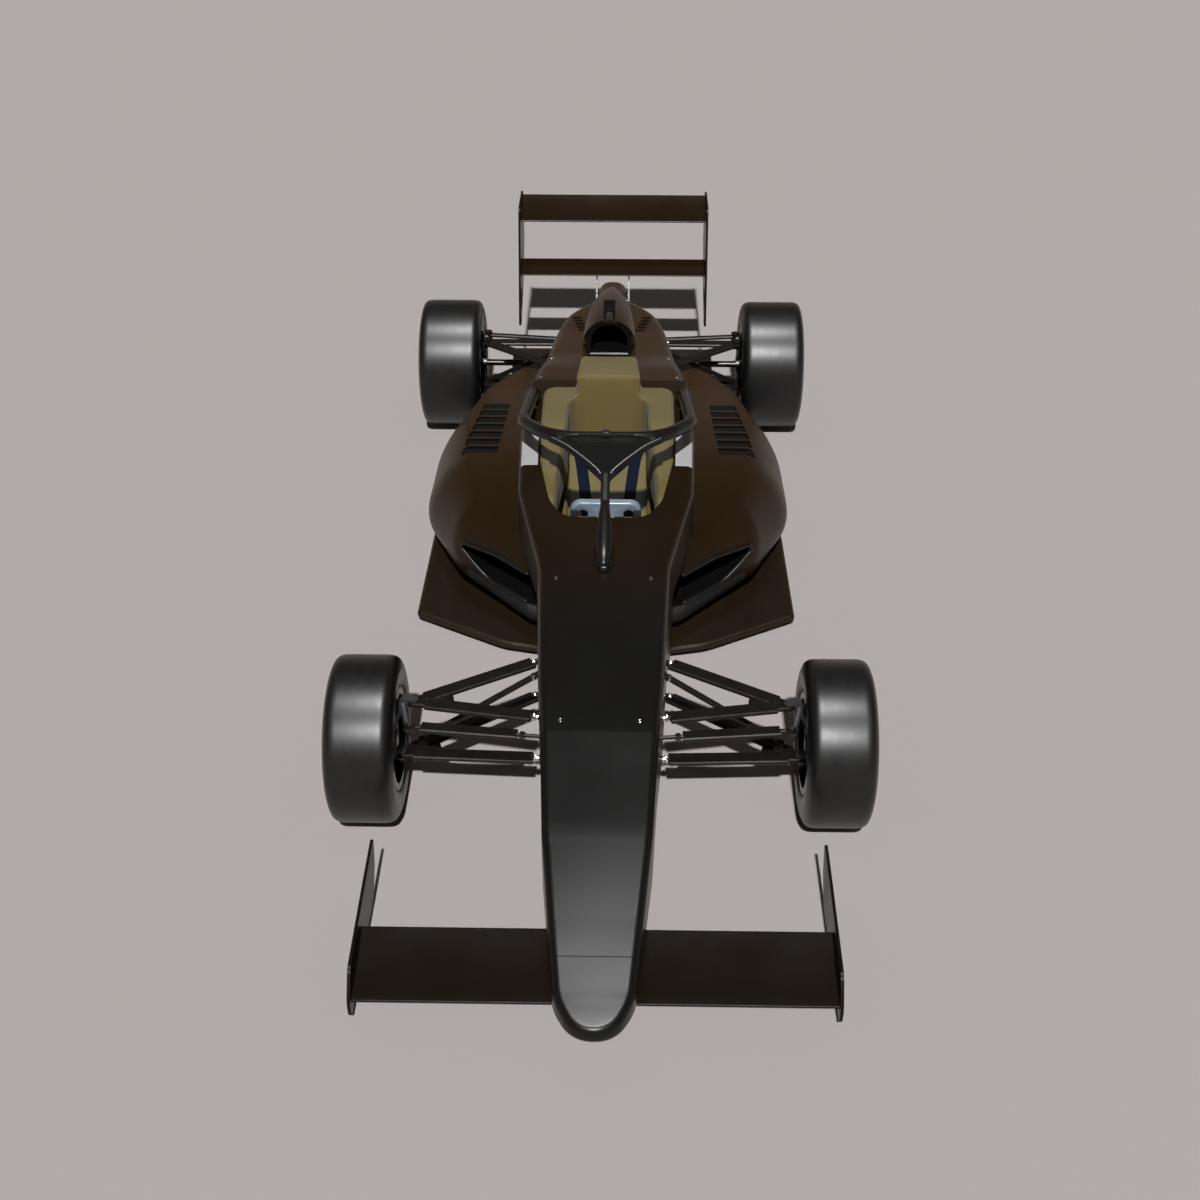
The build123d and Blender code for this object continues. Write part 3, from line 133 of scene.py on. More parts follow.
def pick(piece, test, kind="faces"):
    """Select the faces, edges or points that pass a test in edit mode."""
    mesh = bmesh.from_edit_mesh(piece.data)
    for part in getattr(mesh, kind):
        if test(part):
            part.select_set(True)
    mesh.select_flush_mode()
    bmesh.update_edit_mesh(piece.data)


def just_added(name):
    """The piece that was added last, with its name."""
    piece = bpy.context.object
    piece.name = name
    return piece


def box(name, size, at=(0, 0, 0)):
    """A box of a given size and place to start from."""
    let_go()
    bpy.ops.mesh.primitive_cube_add(size=1, location=at)
    piece = just_added(name)
    piece.scale = size
    settle(piece)
    return piece


def rod(name, corners, radius, length, at=(0, 0, 0), turn=(0, 0, 0)):
    """A short rod with a number of corners to start from."""
    let_go()
    bpy.ops.mesh.primitive_cylinder_add(vertices=corners, radius=radius, depth=length, location=at,
                                        rotation=turn)
    piece = just_added(name)
    settle(piece)
    return piece


def point_at(name, at):
    """A mesh of one point in edit mode, selected and ready to be extruded."""
    let_go()
    bpy.ops.mesh.primitive_plane_add(size=0.01)
    piece = just_added(name)
    edit(piece, "VERT", "SELECT")
    bpy.ops.mesh.merge(type="CENTER")
    bpy.ops.transform.translate(value=at)
    return piece


def extrude_along(route):
    """Extrude what is selected from place to place."""
    for before, after in zip(route, route[1:]):
        bpy.ops.mesh.extrude_region_move(TRANSFORM_OT_translate={"value": after - before})


def slice_at(piece, way, places):
    """Cut the faces of a piece by planes that stand at some places along a way."""
    edit(piece)
    for place in places:
        bpy.ops.mesh.select_all(action="SELECT")
        bpy.ops.mesh.bisect(plane_co=way * place, plane_no=way)
    let_go()


def paint(piece, finish, test):
    """Give the faces that pass a test another finish."""
    if finish.name not in piece.data.materials:
        piece.data.materials.append(finish)
    edit(piece)
    pick(piece, test)
    piece.active_material_index = piece.data.materials.find(finish.name)
    bpy.ops.object.material_slot_assign()
    let_go()


def apply_modifier(piece, kind, **settings):
    """Add a modifier, set it and apply it."""
    hold(piece)
    modifier = piece.modifiers.new(kind.lower(), kind)
    for key, value in settings.items():
        setattr(modifier, key, value)
    bpy.ops.object.modifier_apply(modifier=modifier.name)


def repeat(piece, count, step):
    """Repeat a piece at even steps."""
    apply_modifier(piece, "ARRAY", count=count, use_relative_offset=False, use_constant_offset=True,
                   constant_offset_displace=step)


def round_edges(piece, width, segments=2, angle=35):
    """Bevel the sharp edges of a piece."""
    apply_modifier(piece, "BEVEL", width=width, segments=segments, limit_method="ANGLE",
                   angle_limit=math.radians(angle), use_clamp_overlap=True)


def step_face(piece, way, edge, *steps):
    """Inset the face that looks a way, raise or sink it for each (inset, rise), and round the edges."""
    edit(piece)
    pick(piece, lambda face: face.normal.dot(way) > LOOKS)
    for inset, rise in steps:
        bpy.ops.mesh.inset(thickness=inset)
        bpy.ops.mesh.extrude_region_move(TRANSFORM_OT_translate={"value": way * rise})
    let_go()
    if edge:
        round_edges(piece, edge)


def smooth(piece, angle=35):
    """Smooth shading, with edges sharper than an angle kept."""
    hold(piece)
    bpy.ops.object.shade_smooth_by_angle(angle=math.radians(angle))


def merged_copy(node, name):
    """A copy of a CAD part with its loose triangles joined to one another."""
    piece = bpy.data.objects.new(name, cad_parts[node].data.copy())
    bpy.context.scene.collection.objects.link(piece)
    edit(piece, "VERT", "SELECT")
    bpy.ops.mesh.remove_doubles(threshold=MERGE_DISTANCE)
    hold(piece)
    if piece.data.has_custom_normals:
        bpy.ops.mesh.customdata_custom_splitnormals_clear()
    return piece


def twin(piece, name, matrix):
    """A copy of a piece with its own mesh, moved to a place."""
    other = bpy.data.objects.new(name, piece.data.copy())
    bpy.context.scene.collection.objects.link(other)
    other.data.transform(matrix)
    return other


def join(pieces, name):
    """Join several pieces into the first."""
    hold(pieces[0])
    for piece in pieces:
        piece.select_set(True)
    bpy.ops.object.join()
    pieces[0].name = name
    return pieces[0]


def mount(piece, finish, body="chassis"):
    """Let a finished piece ride on a body and take its finish."""
    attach(piece, body)
    piece.data.materials.clear()
    piece.data.materials.append(finish)
    return piece


def within(value, limits):
    """True for a value between two limits."""
    return limits[0] < value < limits[1]


print("helpers ready")

# %% [markdown]
# ## A small kit for finishes
# A finish starts from the usual shader. Patterns read Object coordinates in metres, so a two millimetre
# weave stays two millimetres on every panel. `noise` gives grain and blots, and `twill` the woven cloth.
# A pattern then leads the colour, the gloss or the relief, and `patterned` sets all three in one call.

# %% Kit for finishes
# Most of a noise lies between these two values
NOISE_RANGE = (0.25, 0.75)
TOW = 0.002
WEAVE = "weave"
# The cloth repeats every four tows, and the crosswise tow is on top for two of them
TWILL_REPEAT = 4
TWILL_OVER = 1.5
TWILL_LEAN = 0.8


def shader_of(finish):
    """The finish's own shader."""
    return finish.node_tree.nodes["Principled BSDF"]


def new_finish(name, metal=0.0, coat=0.0, coat_roughness=0.1, sheen=0.0, specular=0.5):
    """A material with its plain values set on the shader. Colour and roughness come later."""
    finish = bpy.data.materials.new(name)
    finish.use_nodes = True
    values = {"Metallic": metal, "Coat Weight": coat, "Coat Roughness": coat_roughness,
              "Sheen Weight": sheen, "Specular IOR Level": specular}
    for key, value in values.items():
        shader_of(finish).inputs[key].default_value = value
    return finish


def add_node(finish, kind, values=None, **settings):
    """A node in a material or world, with the values of its sockets and its settings."""
    made = finish.node_tree.nodes.new(kind)
    for key, value in settings.items():
        setattr(made, key, value)
    for key, value in (values or {}).items():
        made.inputs[key].default_value = value
    return made


def wire(finish, source, target):
    """Connect two sockets."""
    finish.node_tree.links.new(source, target)


def place_of(finish, scale=(1, 1, 1)):
    """Object coordinates, stretched."""
    where = add_node(finish, "ShaderNodeTexCoord")
    mapping = add_node(finish, "ShaderNodeMapping", {"Scale": scale})
    wire(finish, where.outputs["Object"], mapping.inputs["Vector"])
    return mapping.outputs["Vector"]


def noise(finish, per_metre, detail, stretch=(1, 1, 1)):
    """Noise with a number of blots to a metre."""
    made = add_node(finish, "ShaderNodeTexNoise", {"Scale": per_metre, "Detail": detail})
    wire(finish, place_of(finish, stretch), made.inputs["Vector"])
    return made.outputs["Fac"]


def math_of(finish, operation, first, second):
    """One sum on two values, of which the second may be a number."""
    made = add_node(finish, "ShaderNodeMath", operation=operation)
    wire(finish, first, made.inputs[0])
    if isinstance(second, (int, float)):
        made.inputs[1].default_value = second
    else:
        wire(finish, second, made.inputs[1])
    return made.outputs[0]


def blend(finish, first, second, share):
    """A mix of two values, with a share of the first."""
    return math_of(finish, "ADD", math_of(finish, "MULTIPLY", first, share),
                   math_of(finish, "MULTIPLY", second, 1 - share))


def twill(finish):
    """Woven pattern of flat tows: 0 where the lengthwise tow is on top and 1 where the crosswise one is."""
    split = add_node(finish, "ShaderNodeSeparateXYZ")
    wire(finish, place_of(finish), split.inputs["Vector"])
    slope = math_of(finish, "MULTIPLY", split.outputs["Z"], TWILL_LEAN)
    wide = math_of(finish, "ADD", split.outputs["X"], slope)
    row = math_of(finish, "FLOOR", math_of(finish, "DIVIDE", wide, TOW), 0)
    column = math_of(finish, "FLOOR", math_of(finish, "DIVIDE", split.outputs["Y"], TOW), 0)
    turn = math_of(finish, "FLOORED_MODULO", math_of(finish, "ADD", row, column), TWILL_REPEAT)
    return math_of(finish, "LESS_THAN", turn, TWILL_OVER)


def tint_along(finish, tone, none_at, full_at):
    """Blend the base colour to a tone along the car, between two places on it."""
    split = add_node(finish, "ShaderNodeSeparateXYZ")
    wire(finish, place_of(finish), split.inputs["Vector"])
    share = add_node(finish, "ShaderNodeMapRange", {"From Min": none_at, "From Max": full_at})
    wire(finish, split.outputs["Y"], share.inputs["Value"])
    made = add_node(finish, "ShaderNodeMix", {"B": (*tone, 1)}, data_type="RGBA")
    base = shader_of(finish).inputs["Base Color"]
    wire(finish, share.outputs["Result"], made.inputs["Factor"])
    wire(finish, base.links[0].from_socket, made.inputs["A"])
    wire(finish, made.outputs["Result"], base)


def dress(finish, colours, gloss, bump, colour_by, gloss_by=None, bump_by=None):
    """Set two tones, a range of roughness, and a bump of a depth in metres and a strength, led by patterns.

    The colour's pattern also leads the roughness or the bump that has none of its own.
    """
    shader = shader_of(finish).inputs
    dark, light = colours
    tones = add_node(finish, "ShaderNodeMix", {"A": (*dark, 1), "B": (*light, 1)}, data_type="RGBA")
    rough = add_node(finish, "ShaderNodeMapRange", {"From Min": NOISE_RANGE[0], "From Max": NOISE_RANGE[1],
                                                    "To Min": gloss[0], "To Max": gloss[1]})
    rise = add_node(finish, "ShaderNodeBump", {"Distance": bump[0], "Strength": bump[1]})
    wire(finish, colour_by, tones.inputs["Factor"])
    wire(finish, colour_by if gloss_by is None else gloss_by, rough.inputs["Value"])
    wire(finish, colour_by if bump_by is None else bump_by, rise.inputs["Height"])
    wire(finish, tones.outputs["Result"], shader["Base Color"])
    wire(finish, rough.outputs["Result"], shader["Roughness"])
    wire(finish, rise.outputs["Normal"], shader["Normal"])


def patterned(name, colours, gloss, bump, colour_by, gloss_by=None, bump_by=None, **plain):
    """A finish led by the weave or by noises of some blots to a metre, detail and stretch."""
    finish = new_finish(name, **plain)
    made = {None: None}
    for lead in (colour_by, gloss_by, bump_by):
        if lead not in made:
            made[lead] = twill(finish) if lead == WEAVE else noise(finish, *lead)
    dress(finish, colours, gloss, bump, made[colour_by], made[gloss_by], made[bump_by])
    return finish


print("kit for finishes ready")

# %% [markdown]
# ## Floor and light
# The car stands on a plain pale floor, lit from ahead and above, so shadows fall towards the tail.
# A sun lamp a little over one degree wide gives that shadow its slightly soft edge. A wide one nearly
# overhead only shows in the gloss: it puts the broad soft gleam on the nose, and lights nothing else.
# The world is a pale horizon under a dark ceiling, so glossy panels are dark on top and bright at the edges.

# %% Floor and light
FLOOR_TONE = (0.472, 0.442, 0.428, 1)
FLOOR_ROUGHNESS = 0.9
FLOOR_SIZE = 90
FLOOR_AT = (0, 0, -0.0005)
HORIZON_TONE = (0.28, 0.225, 0.185, 1)
ZENITH_TONE = (0.040, 0.037, 0.035, 1)
# The pale horizon ends and the dark ceiling begins at these heights of the sky
SKY_BLEND = (0.05, 0.55)
KEY_LEVEL = 3.62
KEY_ELEVATION = 48.3
KEY_YAW = 0.6
KEY_WIDTH = 1.4
TOP_LEVEL = 2.9
TOP_TILT = 3
TOP_WIDTH = 10

let_go()
bpy.ops.mesh.primitive_plane_add(size=FLOOR_SIZE, location=FLOOR_AT)
floor = just_added("studio_floor")
floor_finish = new_finish("studio_floor", specular=0.1)
shader_of(floor_finish).inputs["Base Color"].default_value = FLOOR_TONE
shader_of(floor_finish).inputs["Roughness"].default_value = FLOOR_ROUGHNESS
floor.data.materials.append(floor_finish)


def sun(name, level, width, tilt, yaw=0):
    """A sun lamp tilted from straight down toward the tail, with angles in degrees."""
    lamp = bpy.data.objects.new(name, bpy.data.lights.new(name, "SUN"))
    bpy.context.scene.collection.objects.link(lamp)
    lamp.data.energy = level
    lamp.data.angle = math.radians(width)
    lamp.rotation_euler = (math.radians(tilt), 0, math.radians(yaw))
    return lamp


sun("key", KEY_LEVEL, KEY_WIDTH, 90 - KEY_ELEVATION, KEY_YAW)
top = sun("top", TOP_LEVEL, TOP_WIDTH, TOP_TILT)
top.visible_diffuse = False

world = bpy.data.worlds.new("studio")
bpy.context.scene.world = world
world.use_nodes = True
sky_place = add_node(world, "ShaderNodeTexCoord")
sky_split = add_node(world, "ShaderNodeSeparateXYZ")
sky_height = add_node(world, "ShaderNodeMapRange", {"From Min": SKY_BLEND[0], "From Max": SKY_BLEND[1]},
                      interpolation_type="SMOOTHSTEP")
sky_mix = add_node(world, "ShaderNodeMix", {"A": HORIZON_TONE, "B": ZENITH_TONE}, data_type="RGBA")
wire(world, sky_place.outputs["Generated"], sky_split.inputs["Vector"])
wire(world, sky_split.outputs["Z"], sky_height.inputs["Value"])
wire(world, sky_height.outputs["Result"], sky_mix.inputs["Factor"])
wire(world, sky_mix.outputs["Result"], world.node_tree.nodes["Background"].inputs["Color"])
bpy.context.scene.view_settings.view_transform = "Standard"
print("floor and two sun lamps set")

# %% [markdown]
# ## Body finishes
# The panels are woven carbon under dark lacquer, black over the nose, brown behind the front wheels and
# redder toward the rear. Up close the two millimetre tows just show, and the polish is a little uneven.
# Wings and floor are the same cloth with less polish. The halo and the links are smooth black.
# Ducts and vents are dull and painted near-black, which is painted shade in their depths, and a finish of
# small holes stands for the mesh under the inlets.

# %% Body finishes
PANEL_DARK = (0.0110, 0.0056, 0.0018)
PANEL_LIGHT = (0.0185, 0.0094, 0.0030)
CLOTH_SHARE = 0.55
NOSE_BLACK = (0.0065, 0.0062, 0.0058)
BLACK_FROM = y_at(0.20)
BROWN_FROM = y_at(0.70)
RUST_BROWN = (0.046, 0.0245, 0.0115)
RUST_FROM = y_at(1.00)
RUST_FULL = y_at(2.50)
HOLES_PER_METRE = 180
HOLE_SHARE = 0.42


def lacquered(name, specular, gloss, tint, none_at, full_at):
    """Cloth under worn lacquer that turns to another tone along the car."""
    finish = new_finish(name, specular=specular)
    wear = noise(finish, 3, 4)
    cloth = blend(finish, twill(finish), wear, CLOTH_SHARE)
    dress(finish, (PANEL_DARK, PANEL_LIGHT), gloss, (0.0002, 0.25), cloth, wear, noise(finish, 260, 2))
    tint_along(finish, tint, none_at, full_at)
    return finish


panel_finish = lacquered("lacquered_panel", 0.24, (0.27, 0.36), NOSE_BLACK, BROWN_FROM, BLACK_FROM)
pod_finish = lacquered("brown_panel", 0.10, (0.30, 0.40), RUST_BROWN, RUST_FROM, RUST_FULL)
wing_finish = patterned(
    "wing_black", specular=0.10,
    colours=((0.0075, 0.0046, 0.0026), (0.0125, 0.0078, 0.0046)), colour_by=WEAVE,
    gloss=(0.26, 0.36), gloss_by=(6, 4), bump=(0.0002, 0.2), bump_by=(260, 2))
bare_finish = patterned(
    "bare_carbon", coat=0.15, coat_roughness=0.2,
    colours=((0.0085, 0.0070, 0.0058), (0.0180, 0.0145, 0.0118)), colour_by=WEAVE,
    gloss=(0.34, 0.52), gloss_by=(14, 4), bump=(0.0002, 0.3))
halo_finish = patterned(
    "halo_black", specular=0.3,
    colours=((0.0055, 0.0052, 0.0048), (0.0110, 0.0102, 0.0094)), colour_by=(8, 4),
    gloss=(0.27, 0.36), gloss_by=(18, 3), bump=(0.0002, 0.15), bump_by=(300, 2))
# Near-black and dull: the camera pod's own black, and painted shade inside ducts, louvres, vents and the
# intake
matte_black_and_shade_finish = patterned(
    "matte_black_and_painted_shade", specular=0.06,
    colours=((0.0026, 0.0025, 0.0024), (0.0056, 0.0054, 0.0051)), colour_by=(240, 3),
    gloss=(0.62, 0.78), bump=(0.0003, 0.3))
link_finish = patterned(
    "link_black", specular=0.30,
    colours=((0.0065, 0.0056, 0.0048), (0.0130, 0.0110, 0.0092)), colour_by=(420, 2),
    gloss=(0.26, 0.42), gloss_by=(22, 3), bump=(0.0002, 0.2))

mesh_finish = new_finish("guard_mesh")
hole = add_node(mesh_finish, "ShaderNodeTexVoronoi", {"Scale": HOLES_PER_METRE, "Randomness": 0})
wire(mesh_finish, place_of(mesh_finish), hole.inputs["Vector"])
wall = math_of(mesh_finish, "GREATER_THAN", hole.outputs["Distance"], HOLE_SHARE)
dress(mesh_finish, ((0.0012, 0.0012, 0.0014), (0.030, 0.032, 0.035)), (0.55, 0.3), (0.0012, 0.7), wall)

board_finish = new_finish("floor_board", specular=0.22)
board_cloth = twill(board_finish)
board_scuff = noise(board_finish, 9, 6, (1, 0.25, 1))
dress(board_finish, ((0.013, 0.0078, 0.0036), (0.027, 0.0170, 0.0085)), (0.34, 0.46), (0.0002, 0.3),
      math_of(board_finish, "MULTIPLY", board_cloth, board_scuff), board_scuff, board_cloth)
print("body finishes made")

# %% [markdown]
# ## Wood, metal and glass finishes
# The skid plank is laminated wood with long grain. Steel joints are polished, castings are blasted and grey,
# discs are turned iron, and the tail lamp is a red lens.

# %% Wood, metal and glass finishes
plank_finish = patterned(
    "plank_wood",
    colours=((0.13, 0.070, 0.032), (0.33, 0.20, 0.10)), colour_by=(60, 6, (1, 0.04, 3)),
    gloss=(0.45, 0.7), bump=(0.0006, 0.4))
chrome_finish = patterned(
    "polished_steel", metal=1.0,
    colours=((0.60, 0.60, 0.60), (0.86, 0.86, 0.85)), colour_by=(180, 4),
    gloss=(0.08, 0.24), bump=(0.0001, 0.1))
shaft_finish = patterned(
    "shaft_steel", metal=1.0,
    colours=((0.038, 0.036, 0.034), (0.085, 0.082, 0.080)), colour_by=(140, 4, (0.1, 1, 1)),
    gloss=(0.26, 0.42), bump=(0.0001, 0.2))
casting_finish = patterned(
    "blasted_casting", metal=0.85,
    colours=((0.055, 0.056, 0.060), (0.14, 0.14, 0.145)), colour_by=(24, 4),
    gloss=(0.42, 0.62), gloss_by=(500, 3), bump=(0.0003, 0.5), bump_by=(500, 3))
rim_finish = patterned(
    "rim_lacquer", metal=0.5, coat=0.3,
    colours=((0.007, 0.007, 0.0075), (0.020, 0.019, 0.018)), colour_by=(30, 5),
    gloss=(0.28, 0.48), bump=(0.0001, 0.2), bump_by=(700, 2))
disc_finish = patterned(
    "turned_iron", metal=0.9,
    colours=((0.13, 0.12, 0.115), (0.30, 0.29, 0.28)), colour_by=(320, 3, (0.05, 1, 1)),
    gloss=(0.26, 0.44), bump=(0.0002, 0.3))
core_finish = patterned(
    "core_fins", metal=0.7,
    colours=((0.030, 0.031, 0.034), (0.085, 0.086, 0.090)), colour_by=(90, 4),
    gloss=(0.32, 0.55), bump=(0.0002, 0.3))
lamp_finish = patterned(
    "lamp_lens", coat=0.8, coat_roughness=0.05,
    colours=((0.16, 0.004, 0.004), (0.42, 0.020, 0.014)), colour_by=(70, 2),
    gloss=(0.08, 0.18), bump=(0.0003, 0.2))
print("metal, wood and glass finishes made")

# %% [markdown]
# ## Soft and rubber finishes
# Padding is an olive knitted cover with a soft sheen, the harness is navy webbing, and tyres are dark rubber
# that shines softly where the light grazes it. The tyre reads an attribute stored on its own mesh:
# how near a point is to the tread, so scuffing can follow the tread and the side walls stay clean.

# %% Soft and rubber finishes
RIB_SCALE = 150
RIB_WOBBLE = 0.6
DIMPLES_PER_METRE = 320

padding_finish = new_finish("olive_cover", sheen=0.08)
knit = noise(padding_finish, 900, 2)
fading = math_of(padding_finish, "ADD", noise(padding_finish, 7, 3), 0.6)
dress(padding_finish, ((0.096, 0.073, 0.0175), (0.160, 0.123, 0.034)), (0.74, 0.90), (0.0006, 0.35),
      math_of(padding_finish, "MULTIPLY", knit, fading), knit, knit)

webbing_finish = new_finish("navy_webbing", specular=0.04)
rib = add_node(webbing_finish, "ShaderNodeTexWave", {"Scale": RIB_SCALE, "Distortion": RIB_WOBBLE},
               wave_type="BANDS", bands_direction="DIAGONAL")
wire(webbing_finish, place_of(webbing_finish), rib.inputs["Vector"])
dress(webbing_finish, ((0.0016, 0.0042, 0.0125), (0.0036, 0.0085, 0.026)), (0.5, 0.72), (0.0006, 0.5),
      rib.outputs["Fac"])

tyre_finish = new_finish("slick_rubber", specular=0.46)
outwards = add_node(tyre_finish, "ShaderNodeAttribute", attribute_name="tread_share")
rubber_grain = noise(tyre_finish, 240, 4)
rubber_scuff = noise(tyre_finish, 16, 6, (2.5, 1, 1))
tread_scuff = math_of(tyre_finish, "MULTIPLY", outwards.outputs["Fac"], rubber_scuff)
dress(tyre_finish, ((0.0032, 0.0032, 0.0034), (0.0090, 0.0089, 0.0087)), (0.33, 0.42), (0.0003, 0.12),
      tread_scuff, blend(tyre_finish, tread_scuff, rubber_grain, 0.5), rubber_grain)

rubber_finish = new_finish("hand_rubber")
dimple = add_node(rubber_finish, "ShaderNodeTexVoronoi", {"Scale": DIMPLES_PER_METRE})
wire(rubber_finish, place_of(rubber_finish), dimple.inputs["Vector"])
dress(rubber_finish, ((0.012, 0.012, 0.012), (0.034, 0.033, 0.032)), (0.58, 0.8), (0.0008, 0.5),
      dimple.outputs["Distance"])

grip_finish = patterned(
    "wheel_shell", coat=0.2,
    colours=((0.20, 0.255, 0.32), (0.26, 0.325, 0.40)), colour_by=(380, 3),
    gloss=(0.30, 0.44), bump=(0.0002, 0.2))
white_finish = patterned(
    "white_liner",
    colours=((0.42, 0.42, 0.415), (0.52, 0.52, 0.515)), colour_by=(12, 5),
    gloss=(0.36, 0.52), bump=(0.0002, 0.2), bump_by=(300, 2))
print("soft and rubber finishes made")

# %% [markdown]
# ## Finishes on the parts that stay
# Parts whose CAD shape is right only change their finish. One table names each finish and its parts, and
# a loop hands them out. The other parts are replaced by pieces in the cells below.

# %% Finishes on the parts that stay
CORNERS = [f"{end}_{side}" for end in ("front", "rear") for side in ("left", "right")]
FINISHES = (
    (wing_finish, ["front_wing_pylons"]),
    (board_finish, ["floor_pan", "diffuser"]),
    (plank_finish, ["skid_plank"]),
    (core_finish, ["radiators"]),
    (link_finish, ["front_upper_wishbones", "front_lower_wishbones", "front_pushrods", "rear_upper_wishbones",
                   "rear_lower_wishbones", "rear_toe_links", "rear_pushrods", "track_rod_left",
                   "track_rod_right"]),
    (casting_finish, ["engine", "gearbox", "rear_uprights", "front_upright_left", "front_upright_right"]),
    (bare_finish, ["crash_structure"]),
    (chrome_finish, ["steering_column", "rear_wing_pylons"]),
    (shaft_finish, ["drive_shaft_left", "drive_shaft_right"]),
    (lamp_finish, ["rear_lamp"]),
    (rim_finish, [f"rim_{corner}" for corner in CORNERS]),
    (disc_finish, [f"brake_disc_{corner}" for corner in CORNERS]),
)
for finish, node_names in FINISHES:
    for node_name in node_names:
        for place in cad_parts[node_name].material_slots:
            place.material = finish
print("finished", sum(len(names) for _, names in FINISHES), "parts of", len(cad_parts))

# %% [markdown]
# ## Tyres
# A racing slick has a flat tread, round shoulders and a side wall that bulges over the rim's lip.
# One line is drawn by extruding a point from the bead to the middle of the tread and on to the other bead,
# and spinning it about the axle gives the tyre. The inside stays open, hidden by the rim.

# %% Tyres
# Name, station, half track, radius and width
WHEELS = (("front", 0.0, 0.799, 0.288, 0.234), ("rear", 2.925, 0.765, 0.299, 0.292))
SEAT_RADIUS = 0.1685
# Side wall: inset from the widest point, and share of the height from the bead to the tread
SIDE_WALL = ((0.0215, 0.00), (0.0205, 0.07), (0.0100, 0.11), (0.0055, 0.20), (0.0048, 0.22), (0.0035, 0.235),
             (0.0030, 0.25), (0.0010, 0.36), (0.0, 0.47), (0.0008, 0.58), (0.0006, 0.60), (0.0014, 0.62),
             (0.0040, 0.72))
# Shoulder: inset from the widest point, and drop below the tread
SHOULDER = ((0.0062, 0.0290), (0.0092, 0.0200), (0.0135, 0.0128), (0.0195, 0.0070), (0.0275, 0.0030),
            (0.0370, 0.0008), (0.0490, 0.0))
TYRE_STEPS = 112
TYRE_CREASE = 50
TREAD_BAND = 0.03


def spin_line(name, line, centre, steps):
    """Extrude a point along (across, radius) places and spin the line about the X axis through a centre."""
    route = [Vector((across, 0, high)) + Vector(centre) for across, high in line]
    piece = point_at(name, route[0])
    extrude_along(route)
    bpy.ops.mesh.select_all(action="SELECT")
    bpy.ops.mesh.spin(steps=steps, angle=2 * math.pi, center=centre, axis=(1, 0, 0))
    bpy.ops.mesh.select_all(action="SELECT")
    bpy.ops.mesh.remove_doubles(threshold=MERGE_DISTANCE)
    bpy.ops.mesh.normals_make_consistent(inside=False)
    let_go()
    return piece


for end, station, track, radius, width in WHEELS:
    for side, side_name in SIDES:
        half = width / 2
        wall = [(half - inset, SEAT_RADIUS + share * (radius - SEAT_RADIUS)) for inset, share in SIDE_WALL]
        wall += [(half - inset, radius - drop) for inset, drop in SHOULDER]
        line = wall + [(-across, high) for across, high in reversed(wall)]
        centre = (side * track, y_at(station), radius)
        corner = f"{end}_{side_name}"
        tyre = spin_line(f"slick_{corner}", line, centre, TYRE_STEPS)
        share = tyre.data.attributes.new("tread_share", "FLOAT", "POINT")
        for point, value in zip(tyre.data.vertices, share.data):
            high = math.hypot(point.co.y - centre[1], point.co.z - centre[2])
            value.value = min(1.0, max(0.0, (high - radius + TREAD_BAND) / TREAD_BAND))
        smooth(tyre, TYRE_CREASE)
        mount(tyre, tyre_finish, f"wheel_{corner}")
        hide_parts(f"tyre_{corner}")
print("tyres of", len(tyre.data.polygons), "faces")

# %% [markdown]
# ## Smooth shells over the body panels
# A CAD panel comes as loose triangles, and its shading breaks at each of them. A copy with its points merged
# can be shaded smooth up to an angle. The steering wheel, further down, also gets round edges this way.

# %% Smooth shells
SHELL_CREASE = 32
BEVEL_CREASE = 40
SHELLS = {
    "nose_cone": panel_finish, "monocoque": panel_finish, "engine_cover": pod_finish,
    "sidepod_left": pod_finish, "sidepod_right": pod_finish, "camera_pod": matte_black_and_shade_finish,
    "front_wing_plane": wing_finish, "rear_wing_plane": panel_finish, "rear_beam_wing": panel_finish,
    "front_wing_endplates": wing_finish, "rear_wing_endplates": wing_finish,
}


def shell_of(node, finish, body="chassis", bevel=0.0):
    """A merged, smooth copy that stands for a CAD part."""
    piece = merged_copy(node, f"{node}_shell")
    if bevel:
        round_edges(piece, bevel, angle=BEVEL_CREASE)
    smooth(piece, SHELL_CREASE)
    mount(piece, finish, body)
    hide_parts(node)
    return piece


shells = {node: shell_of(node, finish) for node, finish in SHELLS.items()}
print("shells:", {name: len(piece.data.polygons) for name, piece in shells.items()})

# %% [markdown]
# ## Air ducts, guard mesh and louvres
# Behind the inlets the pods are dull, and so are their louvres, and both are painted near-black as the shade
# inside these recesses, so the lacquer stops at the lips.
# These faces are picked by where they are and which way they look.
# Below the lower lip a dark mesh covers the pod's front, so those faces get a finish of small holes.

# %% Air ducts, guard mesh and louvres
DUCT_X = (0.262, 0.595)
DUCT_Y = (y_at(0.900), y_at(1.622))
DUCT_Z = (0.219, 0.354)
# Duct walls run along the car, so their normals have next to nothing of that way
DUCT_LEAN = 0.05
MESH_X = 0.56
MESH_BACK = y_at(1.36)
MESH_Z = (0.100, 0.214)
MESH_LEAN = -0.25
LOUVRE_X = (0.440, 0.622)
LOUVRE_Y = (y_at(1.680), y_at(2.300))
LOUVRE_LOW = 0.34
# The pod's own surface in the field of the louvres leans no further than this
SURFACE_LEAN = (-0.15, 0.25)
SURFACE_UP = 0.5


def in_duct(face):
    """True for a face on the inside of an air duct."""
    at = face.calc_center_median()
    inside = within(abs(at.x), DUCT_X) and within(at.y, DUCT_Y) and within(at.z, DUCT_Z)
    return inside and abs(face.normal.y) < DUCT_LEAN


def under_lip(face):
    """True for a face of the pod's front below the inlet."""
    at = face.calc_center_median()
    ahead = face.normal.y < MESH_LEAN and at.y < MESH_BACK
    return ahead and within(at.z, MESH_Z) and abs(at.x) < MESH_X


